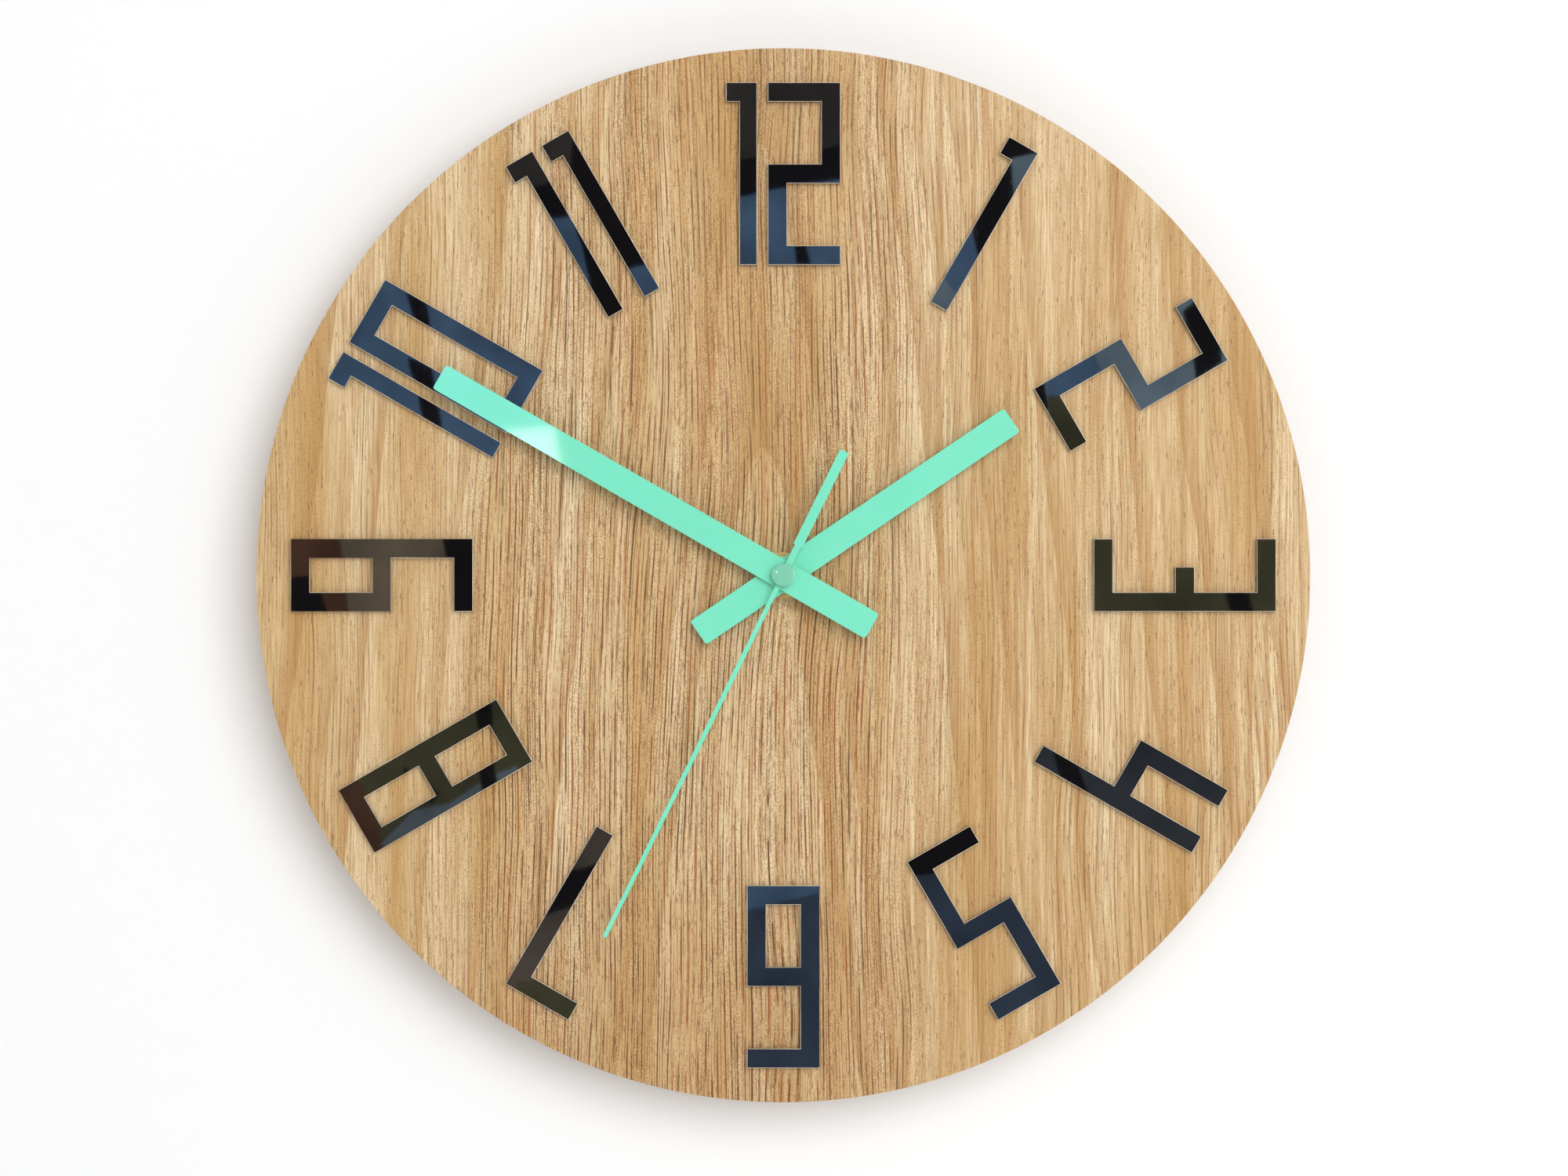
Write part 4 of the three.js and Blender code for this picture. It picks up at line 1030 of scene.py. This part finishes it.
@dataclass
class Dial:
    """The disc: oak face, plywood core and back veneer."""

    edge: float = 0.12 * MM
    bore_gap: float = 0.3 * MM
    steps: int = 512
    ply_count: int = 5

    def build(self) -> list[Piece]:
        """Builds and dresses the three layers.

        Returns:
            The layers from front to back.
        """
        low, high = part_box("dial_board")
        ply = (high.y - low.y) / self.ply_count / MM
        pale, tan = (218, 191, 146), (196, 160, 110)
        back = OakFinish("oak_back_look", pale, tan, roughness=0.62, heart_offset=-48.0)
        layers = (
            ("oak_veneer", "oak_face", OakFinish("oak_face_look")),
            ("dial_board", "plywood", PlyFinish("plywood_look", -low.y / MM, ply)),
            ("back_veneer", "oak_back", back),
        )
        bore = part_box("threaded_bushing")[1].x + self.bore_gap
        made = []
        for node, slot, finish in layers:
            disc = flat_ring(node, bore, self.edge, self.steps).piece(node + "_look")
            made.append(stand_in(disc, node, "clock", slot, finish.build()))
        return made


@dataclass
class Numerals:
    """The glued-on numerals, cut from mirror-black sheet."""

    rim: float = 0.13 * MM

    def build(self) -> list[Piece]:
        """Builds each numeral with a cut rim round its face, coloured pale as a painted highlight.

        Returns:
            The numerals in order of name.
        """
        # The rim's material paints a highlight: a pale line along the cut edge.
        looks = SheetFinish("numeral_face").build(), PaintedHighlightRimFinish("numeral_rim").build()
        easing = Easing(self.rim, front_only=True, edge_slot=1)
        nodes = sorted(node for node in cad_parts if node.startswith("numeral_"))
        return [
            stand_in(easing.copy(node), node, "clock", "numeral_black", *looks)
            for node in nodes
        ]


@dataclass
class Hands:
    """The three hands and the cap.

    The cap's crown is a row of points: share of its radius, and depth behind its front in
    millimetres.
    """

    edge: float = 0.14 * MM
    cap_steps: int = 96
    cap_round: float = 0.25 * MM
    cap_back: float = 0.97
    cap_heel: float = 0.15 * MM
    crown: tuple[Point, ...] = ((1.0, 0.7), (0.985, 0.42), (0.94, 0.2), (0.86, 0.1), (0.5, 0.03))

    def cap(self) -> Surface:
        """Turns an outline with a low crown, a rounded shoulder and an eased heel.

        Returns:
            The surface of the cap.
        """
        low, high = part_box("second_hand_cap")
        radius, back, front = high.x, high.y, low.y
        outline = [
            (POLE, back),
            (radius * self.cap_back, back),
            (radius, back - self.cap_heel),
            *((radius * share, front + depth * MM) for share, depth in self.crown),
            (POLE, front),
        ]
        smooth = rounded(outline, self.cap_round, closed=False)
        return revolved(smooth, self.cap_steps, closed=False)

    def build(self) -> list[Piece]:
        """Builds and dresses the hands and the cap.

        Returns:
            The hands, from the hour hand up, and the cap.
        """
        mint = PaintFinish("hand_paint", (116, 222, 189), (104, 210, 177)).build()
        cap_paint = PaintFinish("cap_paint", (118, 196, 165), (106, 184, 153)).build()
        easing = Easing(self.edge, front_only=True)
        bodies = {"hour_hand": "hours", "minute_hand": "minutes", "second_hand": "seconds"}
        made = [
            stand_in(easing.copy(node), node, body, "hand_mint", mint)
            for node, body in bodies.items()
        ]
        cap = self.cap().piece("second_hand_cap_look")
        return [*made, stand_in(cap, "second_hand_cap", "seconds", "cap_mint", cap_paint)]


@dataclass
class Hub:
    """The clamping stack: brass washer, rubber washer, nut and bushing, with the hand's pipe."""

    bore: float = 4.15 * MM
    steps: int = 120
    brass_edge: float = 0.12 * MM
    rubber_edge: float = 0.3 * MM

    def build(self) -> list[Piece]:
        """Builds and dresses the stack.

        Returns:
            The pieces and the recoated solids.
        """
        finish = MetalFinish(
            "brass_look", (216, 190, 122), (168, 138, 78), MetalGrain.TURNED, metal=0.6
        )
        brass = finish.build()
        rubber = MouldedFinish("rubber_look", (26, 26, 27), (62, 60, 58), 0.72, 18.0).build()
        made = []
        for node, edge, slot, look in (
            ("brass_washer", self.brass_edge, "brass", brass),
            ("rubber_washer", self.rubber_edge, "rubber", rubber),
        ):
            ring = flat_ring(node, self.bore, edge, self.steps).piece(node + "_look")
            made.append(stand_in(ring, node, "clock", slot, look))
        nut = Easing(self.brass_edge).copy("hex_nut")
        made.append(stand_in(nut, "hex_nut", "clock", "brass", brass))
        return made + [recoat(node, brass) for node in ("threaded_bushing", "second_hand_pipe")]


@dataclass
class Battery:
    """The AA cell in the bay.

    Its shoulder and base are rows of points in millimetres: how far inside the can's radius, and
    how far into the cell.
    """

    steps: int = 96
    edge: float = 0.18 * MM
    nub_radius: float = 2.75 * MM
    nub_edge: float = 0.3 * MM
    nub_height: float = 1.0 * MM
    shoulder: tuple[Point, ...] = ((1.6, 0.0), (1.3, 0.25), (0.6, 0.25), (0.3, 0.0), (0.0, 0.5))
    base: tuple[Point, ...] = ((0.0, 0.5), (0.4, 0.1), (1.4, 0.1), (2.0, 0.0))
    bare_length: float = 0.75
    band_from: float = 14.0

    def cell(self) -> Surface:
        """Turns the can's outline: plus nub, crimped rims and flat minus end, along x.

        Returns:
            The surface of the cell.
        """
        low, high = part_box("battery")
        radius = (high.z - low.z) / 2
        plus = low.x + self.nub_height
        outline = [
            (POLE, low.x),
            (self.nub_radius - self.nub_edge, low.x),
            (self.nub_radius, low.x + self.nub_edge),
            (self.nub_radius, plus),
            *((radius - inside * MM, plus + along * MM) for inside, along in self.shoulder),
            *((radius - inside * MM, high.x - along * MM) for inside, along in self.base),
            (POLE, high.x),
        ]
        made = revolved(rounded(outline, self.edge, closed=False), self.steps, closed=False)
        return made.turned_along_x((low.z + high.z) / 2, (low.y + high.y) / 2)

    def build(self) -> list[Piece]:
        """Builds and dresses the cell.

        Returns:
            The cell.
        """
        bare_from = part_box("battery")[1].x / MM - self.bare_length
        jacket = JacketFinish("battery_jacket_look", bare_from, self.band_from).build()
        piece = self.cell().piece("battery_look")
        return [stand_in(piece, "battery", "cell", "battery_jacket", jacket)]


@dataclass
class Movement:
    """The quartz movement behind the dial, without its cell."""

    case_edge: float = 0.25 * MM
    strip_edge: float = 0.06 * MM
    knob_edge: float = 0.15 * MM
    acetal_solids: tuple[str, ...] = (
        "coil_bobbin", "rotor_pinion", "intermediate_wheel", "seconds_wheel", "third_wheel",
        "minute_wheel", "minute_tube", "motion_wheel", "hour_wheel",
    )

    def marks(self) -> tuple[tuple[Ring | Rectangle, ...], tuple[Ring | Rectangle, ...]]:
        """Lays out the sunk marks round the knob's axis and on the cover.

        Returns:
            The knob's marks, a rim and a pointer, and the cover's, with plus and minus by the bay.
        """
        low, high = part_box("setting_knob")
        x, z = axis = ((low.x + high.x) / 2 / MM, (low.z + high.z) / 2 / MM)
        knob = (Ring(axis, 3.9), Ring(axis, 0.45, 0.9), Rectangle((x, z + 2.3), (0.12, 1.0), 0.4))
        cover = (
            Rectangle((0.0, 8.4), (25.4, 17.2)),
            Ring(axis, 8.6),
            Rectangle((-21.0, -6.2), (1.6, 0.12), 0.6),
            Rectangle((-21.0, -6.2), (0.12, 1.6), 0.6),
            Rectangle((21.0, -6.2), (1.6, 0.12), 0.6),
        )
        return knob, cover

    def build(self) -> list[Piece]:
        """Dresses the case, its inside and the time-setting knob.

        Returns:
            The pieces and the recoated solids.
        """
        knob_marks, cover_marks = self.marks()
        case = MouldedFinish("case_look", (27, 28, 30), (58, 58, 60), 0.48, 22.0)
        cover = replace(case, name="cover_look", marks=cover_marks)
        white = (228, 227, 222), (150, 147, 140)
        knob = MouldedFinish("knob_look", *white, 0.38, 8.0, 0.15, marks=knob_marks).build()
        acetal = MouldedFinish("gear_look", (232, 229, 220), (206, 200, 186), 0.4, 6.0, 0.15)
        chip = MouldedFinish("chip_look", (22, 22, 23), (48, 48, 50), 0.3, 10.0)
        rolled, plated, turned = MetalGrain.ROLLED, MetalGrain.PLATED, MetalGrain.TURNED
        nickel = MetalFinish("contact_look", (206, 203, 194), (150, 146, 138), rolled, 0.26)
        copper = MetalFinish("copper_look", (196, 112, 62), (132, 68, 36), rolled)
        steel = MetalFinish("stator_look", (160, 162, 165), (112, 110, 108), rolled, 0.35)
        magnet = MetalFinish("magnet_look", (92, 95, 99), (58, 60, 62), plated, 0.4)
        arbor = MetalFinish("arbor_look", (200, 201, 203), (150, 150, 150), turned, 0.22)
        bright = nickel.build()
        made = [
            stand_in(Easing(edge).copy(node), node, body, slot, look)
            for node, edge, body, slot, look in (
                ("front_case", self.case_edge, "clock", "case_black", case.build()),
                ("rear_cover", self.case_edge, "clock", "case_black", cover.build()),
                ("positive_contact", self.strip_edge, "clock", "contact_nickel", bright),
                ("negative_contact", self.strip_edge, "clock", "contact_nickel", bright),
                ("setting_knob", self.knob_edge, "setting", "knob_white", knob),
            )
        ]
        recoats = {
            "circuit_board": BoardFinish("circuit_look"),
            "clock_chip": chip,
            "coil_winding": copper,
            "stator": steel,
            "rotor_magnet": magnet,
            "seconds_arbor": arbor,
        }
        gears = acetal.build()
        made += [recoat("setting_pinion", knob), recoat("quartz_crystal", bright)]
        made += [recoat(node, gears) for node in self.acetal_solids]
        return made + [recoat(node, finish.build()) for node, finish in recoats.items()]


@dataclass
class Hanger:
    """The pressed steel plate that the clock hangs by."""

    edge: float = 0.12 * MM

    def build(self) -> list[Piece]:
        """Builds and dresses the plate.

        Returns:
            The plate.
        """
        zinc = MetalFinish("zinc_look", (186, 190, 194), (132, 134, 136), MetalGrain.PLATED, 0.36)
        piece = Easing(self.edge).copy("hanger_plate")
        return [stand_in(piece, "hanger_plate", "clock", "hanger_steel", zinc.build())]


# Studio.


class Tone(Enum):
    """Tones of the dark room as the mirror-black sheet shows them."""

    COAL = (37, 34, 31)
    BLACK = (10, 7, 5)
    NAVY = (52, 71, 92)
    SLATE = (75, 88, 97)
    DUSK = (38, 47, 59)
    SMOKE = (37, 40, 43)
    OLIVE = (50, 49, 32)
    BARK = (80, 71, 57)
    EMBER = (62, 55, 49)
    RUST = (57, 37, 24)
    ASH = (70, 78, 84)
    WINDOW = (172, 172, 172)


Card = tuple[Tone | Point, ...]

# Flat cards behind the camera, each in front of the one before, that only show in reflections. A
# row has a card's tone and its corners where they appear in the dial's mirror plane, in
# millimetres, or two opposite corners of an upright rectangle.
ROOM: tuple[Card, ...] = (
    (Tone.COAL, (-400, -400), (400, 400)),
    (Tone.SLATE, (43, 140), (82, 81)),
    (Tone.BLACK, (63, 140), (82, 140), (82, 132), (71, 130), (64, 131)),
    (Tone.BLACK, (61, 132), (71, 130), (73, 118), (61, 97), (59, 107)),
    (Tone.NAVY, (59, 107), (61, 97), (54, 88), (48, 97)),
    (Tone.SLATE, (77, 88), (140, 51)),
    (Tone.NAVY, (83, 72), (96, 72), (102, 56), (83, 56)),
    (Tone.BLACK, (125, 82), (130, 88), (134, 88), (137, 66), (128, 60)),
    (Tone.BLACK, (77, 60), (82, 61), (83, 53), (81, 48)),
    (Tone.OLIVE, (83, 56), (96, 38)),
    (Tone.OLIVE, (96, 13), (155, -12)),
    (Tone.BLACK, (138, -3), (144, -3), (147, -12), (140, -12)),
    (Tone.SMOKE, (77, -50), (140, -87)),
    (Tone.BLACK, (83, -53), (90, -56), (96, -69), (86, -64)),
    (Tone.DUSK, (37, -77), (88, -141)),
    (Tone.BLACK, (37, -77), (63, -77), (63, -86), (47, -93), (38, -94)),
    (Tone.DUSK, (-13, -96), (12, -155)),
    (Tone.NAVY, (-13, -96), (12, -96), (12, -99), (-13, -104)),
    (Tone.EMBER, (-88, -77), (-51, -141)),
    (Tone.BLACK, (-72, -93), (-54, -88), (-58, -100), (-75, -106)),
    (Tone.OLIVE, (-83, -126), (-62, -124), (-62, -141), (-83, -141)),
    (Tone.OLIVE, (-140, -37), (-78, -88)),
    (Tone.RUST, (-140, -63), (-131, -64), (-123, -88), (-140, -88)),
    (Tone.ASH, (-125, -84), (-115, -74), (-104, -71), (-84, -59), (-80, -64), (-121, -87)),
    (Tone.BLACK, (-96, -37), (-91, -37), (-88, -70), (-93, -70)),
    (Tone.BLACK, (-118, -59), (-106, -68), (-108, -71), (-118, -66)),
    (Tone.BARK, (-156, 13), (-96, -12)),
    (Tone.RUST, (-156, 13), (-138, 13), (-135, -12), (-156, -12)),
    (Tone.BLACK, (-156, -1), (-145, 0), (-141, -12), (-156, -12)),
    (Tone.BLACK, (-106, 13), (-96, 13), (-96, -12), (-103, -12)),
    (Tone.NAVY, (-144, 92), (-74, 34)),
    (Tone.BLACK, (-117, 88), (-111, 86), (-109, 75), (-114, 78)),
    (Tone.BLACK, (-116, 67), (-109, 64), (-105, 44), (-111, 48)),
    (Tone.BLACK, (-89, 140), (-38, 80)),
    (Tone.COAL, (-89, 140), (-65, 140), (-66, 123), (-83, 118), (-89, 121)),
    (Tone.NAVY, (-72, 110), (-65, 111), (-60, 90), (-63, 90)),
    (Tone.NAVY, (-50, 93), (-37, 97), (-37, 85), (-44, 85)),
    (Tone.COAL, (-20, 155), (20, 95)),
    (Tone.BLACK, (-20, 127), (20, 133), (20, 95), (-20, 95)),
    (Tone.NAVY, (-20, 116), (20, 123), (20, 95), (-20, 95)),
    (Tone.BLACK, (3, 103), (7, 103), (9, 96), (4, 96)),
    (Tone.WINDOW, (-85.5, 24), (-67, 24), (-70.6, 45.7), (-86, 44.4)),
)


def flat_face(name: str, corners: np.ndarray) -> Piece:
    """Makes one flat face.

    Args:
        name: Name of the new object.
        corners: Its corners in order, in metres, one in each row.

    Returns:
        The object.
    """
    mesh = bpy.data.meshes.new(name)
    mesh.from_pydata(corners.tolist(), [], [list(range(len(corners)))])
    return added(name, mesh)


def sheet(name: str, centre: Corner, side: Corner, rise: Corner) -> Piece:
    """Makes a flat sheet with corners at the centre plus or minus its side and its rise."""
    signs = np.array([(-1, -1), (1, -1), (1, 1), (-1, 1)])
    return flat_face(name, centre + signs @ np.array([side, rise]))


def hide(piece: Piece, *rays: str) -> Piece:
    """Hides an object from some rays.

    Args:
        piece: The object.
        rays: Kinds of rays, as Blender names them.

    Returns:
        The same object.
    """
    for ray in rays:
        setattr(piece, "visible_" + ray, False)
    return piece


@dataclass(frozen=True)
class Lamp:
    """A square soft light that shines at the dial, from a direction and distance in metres."""

    name: str
    direction: Corner
    size: float
    power: float
    in_reflections: bool = False
    distance: float = 2.2

    def build(self) -> Piece:
        """Adds the light.

        Returns:
            The light's object.
        """
        data = bpy.data.lights.new(self.name, "AREA")
        data.size = self.size
        data.energy = self.power
        made = added(self.name, data)
        toward = Vector(self.direction).normalized()
        made.location = toward * self.distance
        made.rotation_mode = "QUATERNION"
        made.rotation_quaternion = toward.to_track_quat("Z", "Y")
        return hide(made, "camera") if self.in_reflections else hide(made, "camera", "glossy")


@dataclass
class Studio:
    """Wall, floor, lights, the dark room in front of the clock and the camera."""

    lens: float = 85.0
    camera_place: Corner = (0.00022, -1.182, -0.0040)
    lamps: tuple[Lamp, ...] = (
        Lamp("key_light", (0.34, -1.0, 0.27), 1.6, 33.0),
        Lamp("back_light", (-0.5, 1.0, 0.6), 1.7, 10.0, in_reflections=True),
    )
    sky_light: float = 0.52
    room_place: float = -2.4
    room_gain: float = 25.0
    blotches: float = 14.0
    blotch_detail: float = 4.0
    blotch_levels: Point = (0.35, 0.65)
    blotch_gain: Point = (0.7, 1.25)
    strip_side: float = 1.1
    strip_depth: float = -0.35
    strip_size: Point = (0.3, 1.4)
    strip_gain: float = 34.0
    wall_gap: float = 0.6 * MM
    wall_reach: float = 3.0
    wall_colour: Levels = (0.89, 0.895, 0.9, 1.0)
    floor_height: float = -0.75
    floor_reach: float = 4.0
    floor_colour: Levels = (0.86, 0.86, 0.85, 1.0)
    floor_glow: float = 0.6

    def card(self, piece: Piece, tone: Tone, strength: float) -> Piece:
        """Makes a flat face glow, blotchy in all tones but the window's, for reflections alone.

        Args:
            piece: The face.
            tone: Its colour.
            strength: How much brighter it is than its colour.

        Returns:
            The same face.
        """
        material = bpy.data.materials.new(piece.name + "_glow")
        graph = Graph(material)
        light = graph.node("Emission", linear(tone.value), strength)
        if tone is not Tone.WINDOW:
            noise = graph.node("TexNoise", graph.node("TexCoord").outputs["Object"])
            graph.fill(noise, Scale=self.blotches, Detail=self.blotch_detail)
            gains = (strength * gain for gain in self.blotch_gain)
            level = graph.node("MapRange", noise, *self.blotch_levels, *gains)
            graph.fill(light, Strength=level)
        graph.show(light)
        piece.data.materials.append(material)
        return hide(piece, "camera", "diffuse", "shadow", "transmission")

    def wall(self) -> Piece:
        """Builds the pale wall, which neither hides nor shades the clock's back from behind.

        Returns:
            The wall.
        """
        reach = self.wall_reach
        made = sheet("wall", (0.0, self.wall_gap, 0.0), (reach, 0.0, 0.0), (0.0, 0.0, reach))
        material = bpy.data.materials.new("wall_paint")
        graph = Graph(material)
        behind = graph.node("NewGeometry").outputs["Backfacing"]
        paint = graph.node("BsdfDiffuse", self.wall_colour)
        graph.show(graph.node("MixShader", behind, paint, graph.node("BsdfTransparent")))
        made.data.materials.append(material)
        return hide(made, "diffuse", "glossy", "transmission", "shadow")

    def floor(self) -> Piece:
        """Builds the pale floor, which the camera sees a little brighter than it is lit.

        Returns:
            The floor.
        """
        reach = self.floor_reach
        made = sheet("floor", (0.0, 0.0, self.floor_height), (reach, 0.0, 0.0), (0.0, reach, 0.0))
        shader = Shader("floor_paint")
        made.data.materials.append(shader.finish(Base_Color=self.floor_colour, Roughness=0.8))
        seen = Field(shader, shader.node("LightPath").outputs["Is Camera Ray"])
        glow = shader.node("Emission", WHITE, 1.0)
        shader.show(shader.node("MixShader", seen * self.floor_glow, shader.surface, glow))
        return made

    def room(self) -> list[Piece]:
        """Builds the cards that stand behind the camera.

        A corner that appears at p in the mirror plane lies at p + (p - c) f / n, where c is the
        camera's place, and n and f are the distances of camera and cards from that plane.

        Returns:
            The card objects.
        """
        camera_x, camera_y, camera_z = self.camera_place
        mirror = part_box("numeral_12_one")[0].y
        spread = (mirror - self.room_place) / (mirror - camera_y)
        made = []
        for number, (tone, *corners) in enumerate(ROOM):
            if len(corners) == 2:
                (left, top), (right, low) = corners
                corners = (left, top), (right, top), (right, low), (left, low)
            seen = np.array(corners) * MM
            flat = seen + (seen - (camera_x, camera_z)) * spread
            flat = np.insert(flat, 1, self.room_place + number * MM, axis=1)
            made.append(self.card(flat_face(f"room_card_{number}", flat), tone, self.room_gain))
        return made

    def strips(self) -> list[Piece]:
        """Builds an upright strip at each side, which the rounded rims of hands and cap reflect.

        Returns:
            The left and the right strip.
        """
        width, height = self.strip_size
        made = []
        for name, x in (("left_strip", -self.strip_side), ("right_strip", self.strip_side)):
            centre = (x, self.strip_depth, 0.0)
            face = sheet(name, centre, (0.0, width / 2, 0.0), (0.0, 0.0, height / 2))
            made.append(self.card(face, Tone.WINDOW, self.strip_gain))
        return made

    def sky(self) -> None:
        """Sets an even surround: white to the eye and in mirrors and glass, softer as a light."""
        world = bpy.data.worlds.new("surround")
        graph = Graph(world)
        rays = graph.node("LightPath").outputs
        seen = Field(graph, rays["Is Camera Ray"]).math("MAXIMUM", rays["Is Glossy Ray"])
        seen = seen.math("MAXIMUM", rays["Is Transmission Ray"])
        soft = graph.node("Background", WHITE, self.sky_light)
        graph.show(graph.node("MixShader", seen, soft, graph.node("Background", WHITE, 1.0)))
        bpy.context.scene.world = world

    def camera(self) -> Piece:
        """Sets the camera square to the dial, a little below its middle, as in the photograph.

        Returns:
            The camera.
        """
        data = bpy.data.cameras.new("camera")
        data.lens = self.lens
        made = added("camera", data)
        made.location = self.camera_place
        made.rotation_euler = (math.radians(90), 0.0, 0.0)
        bpy.context.scene.camera = made
        bpy.context.scene.view_settings.view_transform = "Standard"
        return made

    def build(self) -> list[Piece]:
        """Builds the whole studio.

        Returns:
            What stands, hangs and shines in it.
        """
        stage = [self.wall(), self.floor(), *self.strips(), *self.room()]
        self.sky()
        return [*stage, *(lamp.build() for lamp in self.lamps), self.camera()]


def main() -> None:
    """Builds the clock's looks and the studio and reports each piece."""
    logging.basicConfig(level=logging.INFO, format="%(name)s: %(message)s")
    for part in (Dial(), Numerals(), Hands(), Hub(), Battery(), Movement(), Hanger(), Studio()):
        for piece in part.build():
            LOG.info("%s: %s", type(part).__name__, piece.name)


if __name__ == "__main__":
    main()
